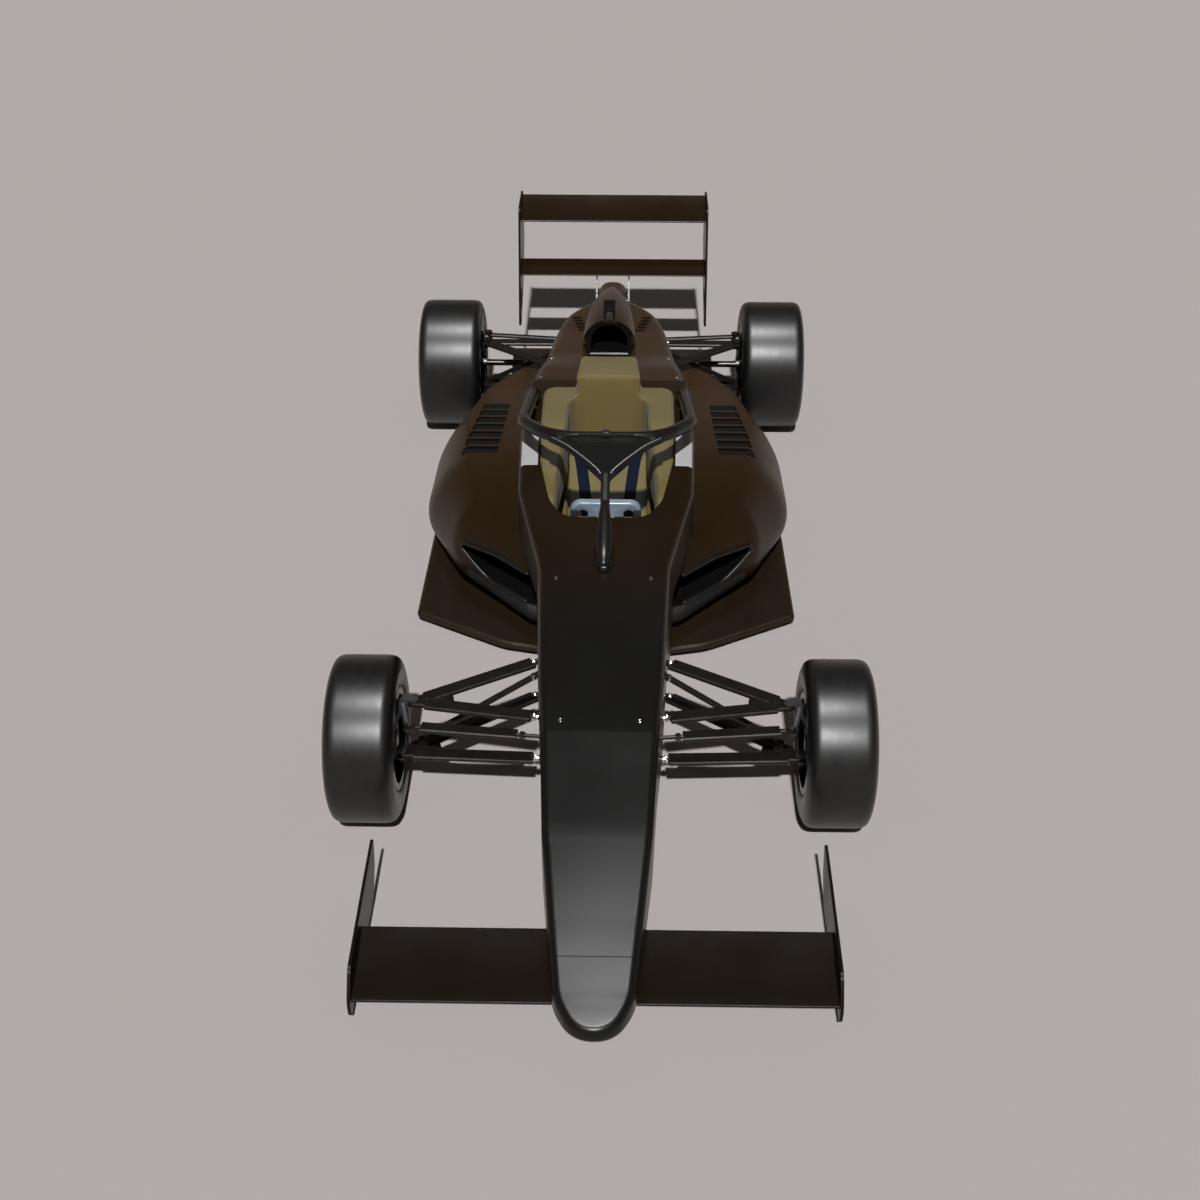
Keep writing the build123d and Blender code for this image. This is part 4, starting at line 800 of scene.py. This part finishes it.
def in_louvre(face):
    """True for a face inside a louvre: in the louvres' field and turned away from the pod's surface."""
    at = face.calc_center_median()
    inside = within(abs(at.x), LOUVRE_X) and within(at.y, LOUVRE_Y) and at.z > LOUVRE_LOW
    on_surface = SURFACE_LEAN[0] <= face.normal.y <= SURFACE_LEAN[1] and face.normal.z >= SURFACE_UP
    return inside and not on_surface


for _, side_name in SIDES:
    pod = shells[f"sidepod_{side_name}"]
    # Near-black duct walls: painted shade inside the inlets
    paint(pod, matte_black_and_shade_finish, in_duct)
    slice_at(pod, UP, MESH_Z)
    paint(pod, mesh_finish, under_lip)
    smooth(pod, SHELL_CREASE)
    # Near-black louvre slots: painted shade in the recesses
    paint(pod, matte_black_and_shade_finish, in_louvre)
    print(pod.name, "has", sum(face.material_index > 0 for face in pod.data.polygons), "dark faces")

# %% [markdown]
# ## The air box behind the headrest is painted near-black inside, as painted shade deep in the intake, and has a black rolled lip.
# The air box behind the headrest is dark inside and has a black rolled lip.
# Faces that look toward the middle of the mouth are inside it, and the ones that lean ahead are its lip.

# %% Intake mouth
MOUTH_X = 0.100
MOUTH_Y = (y_at(1.97), y_at(2.26))
MOUTH_Z = (0.783, 0.942)
MOUTH_MIDDLE = 0.852
# Faces inside look toward the middle by at least this, and those of the lip lean ahead in this range
INWARD = 0.003
MOUTH_LEAN = (-0.9, -0.25)


def near_mouth(at):
    """True for a place in or on the intake's mouth."""
    return within(at.y, MOUTH_Y) and abs(at.x) < MOUTH_X and within(at.z, MOUTH_Z)


def in_mouth(face):
    """True for a face inside the mouth: it looks toward the mouth's middle, or ahead at the bottom of it."""
    at = face.calc_center_median()
    toward = Vector((-at.x, 0, MOUTH_MIDDLE - at.z))
    return near_mouth(at) and (face.normal.dot(toward) > INWARD or face.normal.y < MOUTH_LEAN[0])


def on_mouth_lip(face):
    """True for a face of the rolled lip."""
    return near_mouth(face.calc_center_median()) and MOUTH_LEAN[0] <= face.normal.y < MOUTH_LEAN[1]


cover = shells["engine_cover"]
# Near-black inside the mouth: painted shade in the intake
paint(cover, matte_black_and_shade_finish, in_mouth)
paint(cover, halo_finish, on_mouth_lip)
print("mouth faces:", sum(face.material_index > 0 for face in cover.data.polygons))

# %% [markdown]
# ## Seams between panels
# Real panels are separate mouldings, so fine grooves cross the nose near its tip and where it meets the tub.
# Four cuts across a shell leave a narrow band, and drawing the middle of it in makes the groove.

# %% Seams
SEAM_HALF = 0.0011
SEAM_EDGE = 0.0024
SEAM_DEPTH = 0.0022
# Faces that look along the car further than this are ends of the shell and not part of a groove
SEAM_LEAN = 0.7
SEAM_STATIONS = (-1.035, -0.256)


def cut_seam(piece, y):
    """Draw in a narrow band across a shell."""
    slice_at(piece, BACK, [y + offset for offset in (-SEAM_EDGE, -SEAM_HALF, SEAM_HALF, SEAM_EDGE)])
    edit(piece)
    pick(piece, lambda face: abs(face.calc_center_median().y - y) < SEAM_HALF
         and abs(face.normal.y) < SEAM_LEAN)
    bpy.ops.transform.shrink_fatten(value=-SEAM_DEPTH)
    smooth(piece, SHELL_CREASE)


for station in SEAM_STATIONS:
    cut_seam(shells["nose_cone"], y_at(station))
print("seams cut:", len(SEAM_STATIONS))

# %% [markdown]
# ## Halo
# On the real car the halo is one bent tube whose front leg grows out of it in a smooth web.
# The CAD solid has the same members with hard corners where they meet. Remeshing a copy into even small faces
# and relaxing them melts those corners into fillets, which a bevel can't do across a tube and a plate.
# The part of the leg that stands proud of the web is cut away first.
# Two bars then run from the hoop to the leg in front of the web, so that the leg ends in a Y.

# %% Halo
HALO_VOXEL = 0.0045
HALO_RELAX = 14
RELAX_FACTOR = 0.5
WEB_FOOT = Vector((0, y_at(0.985), 0.770))
WEB_TOP = Vector((0, y_at(1.130), 0.852))
WEB_PROUD = 0.010
WEB_MARGIN = 0.012
WEB_REACH = 0.20
WEB_FLAT = 0.8
CUTTER_WIDTH = 0.060
CUTTER_HEIGHT = 0.060
# Length of the cutter and place of its middle, as shares of the web's length
CUTTER_LONG = 0.86
CUTTER_MIDDLE = 0.45
# Arms of the Y in front of the web: half width, station and height
ARM_ROUTE = ((0.225, 1.142, 0.850), (0.150, 1.103, 0.832), (0.080, 1.050, 0.804), (0.030, 1.008, 0.780),
             (0.006, 0.975, 0.760))
ARM_RADIUS = 0.0155


def melted(node, name, voxel, relax, cutter=None):
    """A copy of a CAD part, cut if need be, remeshed into even faces and relaxed."""
    piece = merged_copy(node, name)
    if cutter is not None:
        apply_modifier(piece, "BOOLEAN", operation="DIFFERENCE", object=cutter, solver="EXACT")
    apply_modifier(piece, "REMESH", mode="VOXEL", voxel_size=voxel)
    apply_modifier(piece, "SMOOTH", factor=RELAX_FACTOR, iterations=relax)
    smooth(piece, ALL_SMOOTH)
    return piece


def tube(name, route, radius):
    """A round bar along a route: one point extruded along it, then Skin and Subdivision."""
    piece = point_at(name, route[0])
    extrude_along(route)
    hold(piece)
    skin = piece.modifiers.new("skin", "SKIN")
    for point in piece.data.skin_vertices[0].data:
        point.radius = (radius, radius)
    bpy.ops.object.modifier_apply(modifier=skin.name)
    apply_modifier(piece, "SUBSURF", levels=2, render_levels=2)
    edit(piece, "VERT", "SELECT")
    bpy.ops.mesh.normals_make_consistent(inside=False)
    smooth(piece, ALL_SMOOTH)
    return piece


web_run = WEB_TOP - WEB_FOOT
web_tilt = math.atan2(web_run.z, web_run.y)
web_up = Vector((0, -math.sin(web_tilt), math.cos(web_tilt)))


def on_web(face):
    """True for a face of the flat web between the arms."""
    at = face.calc_center_median()
    inside = WEB_FOOT.y < at.y < WEB_TOP.y - WEB_MARGIN and abs(at.x) < WEB_REACH
    return inside and abs(face.normal.dot(web_up)) > WEB_FLAT


cutter = box("web_cutter", (CUTTER_WIDTH, web_run.length * CUTTER_LONG, CUTTER_HEIGHT))
cutter_at = WEB_FOOT + web_run * CUTTER_MIDDLE + web_up * (WEB_PROUD + CUTTER_HEIGHT / 2)
cutter.data.transform(Matrix.Translation(cutter_at) @ Matrix.Rotation(web_tilt, 4, "X"))
halo = melted("halo", "halo_frame", HALO_VOXEL, HALO_RELAX, cutter)
bpy.data.objects.remove(cutter)
mount(halo, halo_finish)
paint(halo, matte_black_and_shade_finish, on_web)
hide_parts("halo")
for side, side_name in SIDES:
    arm_route = [Vector((side * x, y_at(station), z)) for x, station, z in ARM_ROUTE]
    mount(tube(f"halo_arm_{side_name}", arm_route, ARM_RADIUS), halo_finish)
print("halo of", len(halo.data.polygons), "faces and two arms in front of its web")

# %% [markdown]
# ## Padding
# The headrest and the seat are firm foam under a stretched cover, so they keep their shape with round edges
# and slightly crowned faces. A remeshed copy is blown up a little by Cloth with air pressure and no weight.
# Points below a height stay pinned, and no point may move further than a few millimetres.

# %% Padding
PAD_VOXEL = 0.0085
PAD_RELAX = 5
PAD_PRESSURE = 4.0
PAD_STIFFNESS = 30
PAD_CAP = 0.006
SWELL_FRAMES = 20
# CAD part, name, how full the pad is, and the height below which it is pinned
PADS = (("headrest", "head_pad", 0.5, 0.47), ("seat", "seat_pad", 0.55, 0.11))


def swell(piece, pinned_below):
    """Blow a pad up a little with Cloth, then hold back points that moved too far."""
    rest = [point.co.copy() for point in piece.data.vertices]
    group = piece.vertex_groups.new(name="resting")
    group.add([i for i, at in enumerate(rest) if at.z < pinned_below], 1.0, "REPLACE")
    hold(piece)
    cloth = piece.modifiers.new("cover", "CLOTH")
    cloth.settings.use_pressure = True
    cloth.settings.uniform_pressure_force = PAD_PRESSURE
    cloth.settings.effector_weights.gravity = 0
    cloth.settings.vertex_group_mass = group.name
    cloth.settings.tension_stiffness = PAD_STIFFNESS
    cloth.settings.compression_stiffness = PAD_STIFFNESS
    cloth.collision_settings.use_collision = False
    for step in range(1, SWELL_FRAMES + 1):
        bpy.context.scene.frame_set(step)
    bpy.ops.object.modifier_apply(modifier=cloth.name)
    bpy.context.scene.frame_set(1)
    for point, was in zip(piece.data.vertices, rest):
        moved = point.co - was
        if moved.length > PAD_CAP:
            point.co = was + moved.normalized() * PAD_CAP
    piece.vertex_groups.clear()


for node, name, fill_share, pinned_below in PADS:
    pad = melted(node, name, PAD_VOXEL, PAD_RELAX)
    swell(pad, pinned_below)
    apply_modifier(pad, "SUBSURF", levels=1, render_levels=1)
    smooth(pad, ALL_SMOOTH)
    mount(pad, padding_finish)
    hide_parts(node)
    print(name, "of", len(pad.data.polygons), "faces")

# %% [markdown]
# ## Harness
# Two navy shoulder straps come over the seat's top and run down its back, a little closer together at the
# waist. A strap is a flat band, so one edge is extruded from point to point down the seat and then thickened.
# Each point is found by dropping a line on to the pad, so the band lies on it.

# %% Harness
STRAP_HALF = 0.024
STRAP_THICK = 0.0024
STRAP_LIFT = 0.004
STRAP_EDGE = 0.0006
THIN_CREASE = 40
STRAP_STATIONS = (1.752, 1.74, 1.725, 1.71, 1.69, 1.665, 1.64, 1.61, 1.58, 1.55, 1.525, 1.50, 1.475, 1.45,
                  1.43)
STRAP_TOP_X = 0.128
STRAP_LOW_X = 0.058
STRAP_DROP = 0.9


def surface_of(piece):
    """A tree of a piece's faces, to find points on it."""
    return BVHTree.FromObject(piece, bpy.context.evaluated_depsgraph_get())


def drop(surface, x, y, high=2.0):
    """Point and normal where a line straight down from a height meets a surface."""
    at, normal, _, _ = surface.ray_cast(Vector((x, y, high)), -UP)
    return at, normal


seat_surface = surface_of(bpy.data.objects["seat_pad"])
strap_across = Vector((STRAP_HALF, 0, 0))
for side, side_name in SIDES:
    route = []
    for step, station in enumerate(STRAP_STATIONS):
        share = step / (len(STRAP_STATIONS) - 1)
        x = side * (STRAP_TOP_X + (STRAP_LOW_X - STRAP_TOP_X) * share)
        at, normal = drop(seat_surface, x, y_at(station), STRAP_DROP)
        route.append(at + normal * STRAP_LIFT)
    strap = point_at(f"shoulder_strap_{side_name}", route[0] - strap_across)
    extrude_along([route[0] - strap_across, route[0] + strap_across])
    bpy.ops.mesh.select_all(action="SELECT")
    extrude_along(route)
    bpy.ops.mesh.select_all(action="SELECT")
    bpy.ops.mesh.normals_make_consistent(inside=False)
    length = sum((after - before).length for before, after in zip(route, route[1:]))
    apply_modifier(strap, "SOLIDIFY", thickness=STRAP_THICK, offset=0)
    round_edges(strap, STRAP_EDGE, 1)
    smooth(strap, THIN_CREASE)
    mount(strap, webbing_finish)
    if side == 1:
        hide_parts("seat_belts")
    print(strap.name, "is", round(length, 3), "m long")

# %% [markdown]
# ## Steering wheel
# The wheel is a flat pale shell with two hand holes. The CAD plate has that outline, and rubber grips, a
# screen, buttons and paddles are modelled on it in the wheel's own tilted frame:
# x to the left, y up the face and z towards the driver.

# %% Steering wheel
COLUMN_TILT = math.radians(14)
WHEEL_CENTRE = Vector((0, y_at(1.062), 0.548))
FACE_UP = Vector((0, -math.sin(COLUMN_TILT), math.cos(COLUMN_TILT)))
FACE_OUT = Vector((0, math.cos(COLUMN_TILT), math.sin(COLUMN_TILT)))
WHEEL_BEVEL = 0.004
GRIP_SIZE = (0.036, 0.104, 0.040)
GRIP_AT = (0.119, 0, 0)
GRIP_CUTS = 3
# The grip's inner side is drawn in by this much over this half length, and its ends are smaller
GRIP_WAIST = 0.005
GRIP_WAIST_HALF = 0.03
GRIP_END = 0.8
SCREEN_SIZE = (0.096, 0.056, 0.014)
SCREEN_AT = (0, 0.026, 0.019)

wheel_axes = Matrix((Vector((1, 0, 0)), FACE_UP, FACE_OUT)).transposed().to_4x4()
wheel_frame = Matrix.Translation(WHEEL_CENTRE) @ wheel_axes


def on_wheel(piece, finish):
    """Carry a piece made at the origin to the steering wheel."""
    piece.data.transform(wheel_frame)
    return mount(piece, finish, "steering_wheel")


shell_of("steering_wheel", grip_finish, "steering_wheel", bevel=WHEEL_BEVEL)
grip = box("grip_left", GRIP_SIZE, GRIP_AT)
edit(grip, "EDGE", "SELECT")
bpy.ops.mesh.subdivide(number_cuts=GRIP_CUTS)
edit(grip)
pick(grip, lambda face: face.normal.x < -LOOKS and abs(face.calc_center_median().y) < GRIP_WAIST_HALF)
bpy.ops.transform.translate(value=(GRIP_WAIST, 0, 0))
edit(grip)
pick(grip, lambda face: abs(face.normal.y) > LOOKS)
bpy.ops.transform.resize(value=(GRIP_END, 1, GRIP_END), center_override=GRIP_AT)
apply_modifier(grip, "SUBSURF", levels=2, render_levels=2)
smooth(grip, ALL_SMOOTH)
other_grip = twin(grip, "grip_right", Matrix.Rotation(math.pi, 4, "Y"))
for hand in (grip, other_grip):
    on_wheel(hand, rubber_finish)

screen = box("wheel_screen", SCREEN_SIZE, SCREEN_AT)
step_face(screen, UP, 0.0015, (0.006, -0.003))
smooth(screen)
on_wheel(screen, rubber_finish)
print("steering wheel dressed")

# %% [markdown]
# ## Buttons and paddles
# Small controls repeat, so one button is modelled and copied. The paddles are thin plates behind the wheel.

# %% Buttons and paddles
BUTTON_PLACES = ((0.058, 0.050), (0.058, 0.020), (0.058, -0.012), (0.034, -0.030), (0.034, -0.056),
                 (0.0, -0.052))
PADDLE_SIZE = (0.080, 0.036, 0.004)
PADDLE_AT = (0.074, 0.012, -0.034)
PADDLE_ROUND = 0.014

button = rod("button", 20, 0.0068, 0.010, (0, 0, 0.018))
step_face(button, UP, 0.0006, (0.0018, 0.002))
buttons = []
for x, up in BUTTON_PLACES:
    for way in ((1, -1) if x else (1,)):
        buttons.append(twin(button, "button", Matrix.Translation((way * x, up, 0))))
bpy.data.objects.remove(button)
button_set = join(buttons, "wheel_buttons")
smooth(button_set)
on_wheel(button_set, rubber_finish)


def long_in_z(edge, length):
    """True for an edge that rises more than a length."""
    return abs((edge.verts[0].co - edge.verts[1].co).z) > length


paddle = box("paddle_left", PADDLE_SIZE, PADDLE_AT)
edit(paddle, "EDGE")
pick(paddle, lambda edge: long_in_z(edge, 0.003) and edge.verts[0].co.x > PADDLE_AT[0], "edges")
bpy.ops.mesh.bevel(offset=PADDLE_ROUND, segments=5)
round_edges(paddle, 0.0008)
smooth(paddle)
to_right = Matrix.Rotation(math.pi, 4, "Z") @ Matrix.Translation((0, -2 * PADDLE_AT[1], 0))
for plate in (paddle, twin(paddle, "paddle_right", to_right)):
    on_wheel(plate, bare_finish)
print("controls:", len(BUTTON_PLACES) * 2 - 1, "buttons and two paddles")

# %% [markdown]
# ## Radiator fins
# Behind each inlet sits a radiator. Its core is a block in the CAD car, and here it gets its folded fins:
# one bent strip is modelled and an Array modifier repeats it across the core.

# %% Radiator fins
FIN_PITCH = 0.0055
FIN_DEPTH = 0.006
FIN_THICK = 0.0012
FIN_BEND = 0.0022
FIN_FOLDS = 12
FIN_Z = (0.228, 0.338)
FIN_X = (0.270, 0.578)
CORE_FRONT = y_at(1.47)

fin_height = FIN_Z[1] - FIN_Z[0]
fold = fin_height / FIN_FOLDS
fin_count = int((FIN_X[1] - FIN_X[0]) / FIN_PITCH)
for side, side_name in SIDES:
    fin = box(f"core_fins_{side_name}", (FIN_THICK, FIN_DEPTH, fin_height),
              (side * FIN_X[0], CORE_FRONT - FIN_DEPTH / 2, sum(FIN_Z) / 2))
    edit(fin, "EDGE")
    pick(fin, lambda edge: long_in_z(edge, fin_height / 2), "edges")
    bpy.ops.mesh.subdivide(number_cuts=FIN_FOLDS - 1)
    edit(fin, "VERT")
    pick(fin, lambda point: int(round((point.co.z - FIN_Z[0]) / fold)) % 2 == 1, "verts")
    bpy.ops.transform.translate(value=(side * FIN_BEND, 0, 0))
    repeat(fin, fin_count, (side * FIN_PITCH, 0, 0))
    mount(fin, core_finish)
    print(fin.name, "has", fin_count, "fins")

# %% [markdown]
# ## Rod ends
# Each link meets the bodywork in a polished steel rod end: a sleeve over the thread and a lock nut behind it.
# One is turned from a cylinder. Copies stand where a line along each link first meets a body panel.

# %% Rod ends
SLEEVE_R = 0.0105
SLEEVE_LENGTH = 0.026
LOCK_NUT_R = 0.0150
LOCK_NUT_T = 0.009
ROD_END_EDGE = 0.0012
# Links: outer ball and inner end, each as half width, station and height
FRONT_LINKS = (
    ((0.640, 0.022, 0.428), (0.200, -0.070, 0.440)), ((0.640, 0.022, 0.428), (0.214, 0.262, 0.436)),
    ((0.692, 0.006, 0.218), (0.200, -0.034, 0.236)), ((0.692, 0.006, 0.218), (0.218, 0.340, 0.232)),
    ((0.628, 0.062, 0.236), (0.200, 0.096, 0.508)),
)
REAR_LINKS = (
    ((0.602, 2.915, 0.410), (0.240, 2.680, 0.392)), ((0.602, 2.915, 0.410), (0.200, 2.950, 0.394)),
    ((0.640, 2.925, 0.198), (0.100, 3.060, 0.205)), ((0.602, 3.022, 0.400), (0.200, 2.992, 0.392)),
)

sleeve = rod("sleeve", 24, SLEEVE_R, SLEEVE_LENGTH, (0, 0, SLEEVE_LENGTH / 2))
step_face(sleeve, UP, ROD_END_EDGE, (0.0025, 0.006))
lock_nut = rod("lock_nut", 6, LOCK_NUT_R, LOCK_NUT_T, (0, 0, SLEEVE_LENGTH - LOCK_NUT_T))
round_edges(lock_nut, ROD_END_EDGE)
rod_end = join([sleeve, lock_nut], "rod_end")


def stand(at, way):
    """Matrix that sets a piece made on the Z axis at a point, looking a way."""
    return Matrix.Translation(at) @ way.to_track_quat("Z", "Y").to_matrix().to_4x4()


def ends_of(links, panels, name):
    """Rod ends where links meet the nearest of some panels."""
    surfaces = [surface_of(panel) for panel in panels]
    ends = []
    for ball, inner in links:
        for side, _ in SIDES:
            start = Vector((side * ball[0], y_at(ball[1]), ball[2]))
            way = (Vector((side * inner[0], y_at(inner[1]), inner[2])) - start).normalized()
            reaches = [surface.ray_cast(start, way)[3] for surface in surfaces]
            reach = min(value for value in reaches if value is not None)
            ends.append(twin(rod_end, name, stand(start + way * reach, -way)))
    made = join(ends, name)
    smooth(made)
    return mount(made, chrome_finish)


ends_of(FRONT_LINKS, [shells["monocoque"]], "front_rod_ends")
rear_panels = [shells[node] for node in ("engine_cover", "sidepod_left", "sidepod_right")]
ends_of(REAR_LINKS, rear_panels + [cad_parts["gearbox"]], "rear_rod_ends")
bpy.data.objects.remove(rod_end)
print("rod ends:", 2 * (len(FRONT_LINKS) + len(REAR_LINKS)))

# %% [markdown]
# ## White cockpit edges
# Two white patches lie on the cockpit's rim beside the driver's shoulders. Each is a thin sheet stuck to the
# rim, so a grid is pressed straight down on to the tub with Shrinkwrap and then given a little thickness.
# A white plate also stands behind the seat, under the headrest.

# %% White cockpit edges
PATCH_SIZE = (0.066, 0.310, 1)
PATCH_CELLS = (14, 40)
PATCH_AT = (0.307, 1.412)
PATCH_FROM = 0.9
PATCH_TURN = math.radians(1.6)
PATCH_LIFT = 0.0006
PATCH_THICK = 0.0014

for side, side_name in SIDES:
    let_go()
    bpy.ops.mesh.primitive_grid_add(x_subdivisions=PATCH_CELLS[0], y_subdivisions=PATCH_CELLS[1], size=1)
    patch = just_added(f"rim_patch_{side_name}")
    patch.scale = PATCH_SIZE
    patch.rotation_euler = (0, 0, -side * PATCH_TURN)
    patch.location = (side * PATCH_AT[0], y_at(PATCH_AT[1]), PATCH_FROM)
    settle(patch)
    apply_modifier(patch, "SHRINKWRAP", target=shells["monocoque"], wrap_method="PROJECT", use_project_z=True,
                   use_negative_direction=True, use_positive_direction=False, offset=PATCH_LIFT)
    apply_modifier(patch, "SOLIDIFY", thickness=PATCH_THICK, offset=1)
    round_edges(patch, 0.0005)
    smooth(patch, THIN_CREASE)
    mount(patch, white_finish)

plate = box("seat_plate", (0.230, 0.006, 0.056), (0, y_at(1.796), 0.497))
step_face(plate, AHEAD, 0.0015, (0.006, -0.001))
smooth(plate)
mount(plate, white_finish)
print("two patches on the rim and a plate under the headrest")

# %% [markdown]
# ## Fasteners and vents
# Countersunk screws hold the top panels, and five short vents stand beside the spine on either side.
# One screw and one vent are modelled, and each copy is dropped on to the panel and tilted with it.

# %% Fasteners and vents
# Places as half width and station
TUB_SCREWS = ((0.170, 0.536), (0.129, -0.203), (0.298, 1.700), (0.298, 1.842))
COVER_SCREWS = ((0.292, 2.030), (0.262, 2.380))
VENT_PLACES = [(0.136 + 0.008 * row, 2.850 + 0.0425 * row) for row in range(5)]

screw = rod("screw", 20, 0.0085, 0.004)
step_face(screw, UP, 0.0008, (0.0042, -0.0022))
vent = box("vent", (0.042, 0.016, 0.008))
step_face(vent, UP, 0.0012, (0.0028, -0.004))


def drop_all(pattern, places, panel, name, finish):
    """Copies of a pattern dropped on a panel, on both sides of the car."""
    surface = surface_of(panel)
    copies = []
    for x, station in places:
        for side, _ in SIDES:
            at, normal = drop(surface, side * x, y_at(station))
            copies.append(twin(pattern, name, stand(at, normal)))
    made = join(copies, name)
    smooth(made)
    return mount(made, finish)


drop_all(screw, TUB_SCREWS, shells["monocoque"], "tub_screws", chrome_finish)
drop_all(screw, COVER_SCREWS, cover, "cover_screws", chrome_finish)
# The vents are painted near-black: painted shade in their slots
drop_all(vent, VENT_PLACES, cover, "cover_vents", matte_black_and_shade_finish)
bpy.data.objects.remove(screw)
bpy.data.objects.remove(vent)
print("screws and vents placed")

# %% [markdown]
# ## Camera lens, tail lamp and halo bracket
# The camera pod looks ahead through a round lens, the tail lamp has rows of small lights on its face,
# and a small bracket stands on the middle of the halo.

# %% Camera lens, tail lamp and halo bracket
LENS_AT = (0, y_at(2.0035), 0.962)
LIGHT_COLUMNS = 7
LIGHT_ROWS = 4
LIGHT_PITCH = 0.0076

lens = rod("camera_lens", 32, 0.016, 0.016, LENS_AT, (math.pi / 2, 0, 0))
step_face(lens, AHEAD, 0.001, (0.004, -0.004), (0.005, 0.002))
smooth(lens)
mount(lens, rubber_finish)

lamp_low, lamp_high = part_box("rear_lamp")
light = box("tail_lights", (0.0058, 0.003, 0.0058))
step_face(light, BACK, 0, (0.0009, 0.0008))
repeat(light, LIGHT_COLUMNS, (LIGHT_PITCH, 0, 0))
repeat(light, LIGHT_ROWS, (0, 0, LIGHT_PITCH))
light.location = (-LIGHT_PITCH * (LIGHT_COLUMNS - 1) / 2, lamp_high.y,
                  (lamp_low.z + lamp_high.z) / 2 - LIGHT_PITCH * (LIGHT_ROWS - 1) / 2)
settle(light)
mount(light, lamp_finish)

bracket = box("halo_bracket", (0.034, 0.026, 0.016), (0, y_at(1.112), 0.880))
step_face(bracket, UP, 0.0016, (0.006, 0.007))
smooth(bracket)
mount(bracket, bare_finish)
print("lens, lights and bracket made")

# %% [markdown]
# ## Inlet lips and halo foot
# The inlets have rolled lips, and the halo's leg ends in a slim fairing on the tub.
# Each lip follows the edge where the dark duct begins, and a round bar joins the points of that edge.
# The fairing is a sphere flattened, drawn out behind and then laid along the leg.

# %% Inlet lips and halo foot
LIP_STEP = 0.022
LIP_INNER = 0.282
LIP_BACK = y_at(1.50)
LIP_RADIUS = 0.010
FOOT_AT = Vector((0, y_at(0.645), 0.668))
FOOT_HALF = (0.030, 0.088, 0.024)
FOOT_TAIL = 2.5
FOOT_SLOPE = math.radians(21)
# Points of the sphere's middle ring are no further back than this
FOOT_MIDDLE = 0.0001


def lip_line(piece):
    """Points in order along the front edge of a pod's duct, from the tub outward and back to it."""
    dark = piece.data.materials.find(matte_black_and_shade_finish.name)
    mesh = bmesh.new()
    mesh.from_mesh(piece.data)
    mates = {}
    for edge in mesh.edges:
        duct = [face for face in edge.link_faces if face.material_index == dark and in_duct(face)]
        middle = (edge.verts[0].co + edge.verts[1].co) / 2
        at_lip = abs(middle.x) > LIP_INNER and middle.y < LIP_BACK
        if at_lip and len(edge.link_faces) == 2 and len(duct) == 1:
            for point, mate in (edge.verts, reversed(edge.verts)):
                mates.setdefault(point, []).append(mate)
    ends = [point for point in mates if len(mates[point]) == 1]
    at = max(ends, key=lambda point: point.co.z - abs(point.co.x))
    line = [at.co.copy()]
    seen = {at}
    onward = mates[at]
    while onward:
        at = onward[0]
        seen.add(at)
        if (at.co - line[-1]).length > LIP_STEP:
            line.append(at.co.copy())
        onward = [mate for mate in mates[at] if mate not in seen]
    mesh.free()
    return line


for _, side_name in SIDES:
    lip = lip_line(shells[f"sidepod_{side_name}"])
    mount(tube(f"inlet_lip_{side_name}", lip, LIP_RADIUS), halo_finish)
    print(side_name, "lip of", len(lip), "points")

let_go()
bpy.ops.mesh.primitive_uv_sphere_add(segments=40, ring_count=24, radius=1)
foot = just_added("halo_foot")
edit(foot, "VERT", "SELECT")
bpy.ops.transform.resize(value=FOOT_HALF)
bpy.ops.mesh.select_all(action="DESELECT")
pick(foot, lambda point: point.co.y > FOOT_MIDDLE, "verts")
bpy.ops.transform.resize(value=(1, FOOT_TAIL, 1), center_override=(0, 0, 0))
bpy.ops.mesh.select_all(action="SELECT")
bpy.ops.transform.rotate(value=-FOOT_SLOPE, orient_axis="X", center_override=(0, 0, 0))
bpy.ops.transform.translate(value=FOOT_AT)
smooth(foot, ALL_SMOOTH)
mount(foot, halo_finish)
print("foot of", len(foot.data.polygons), "faces")
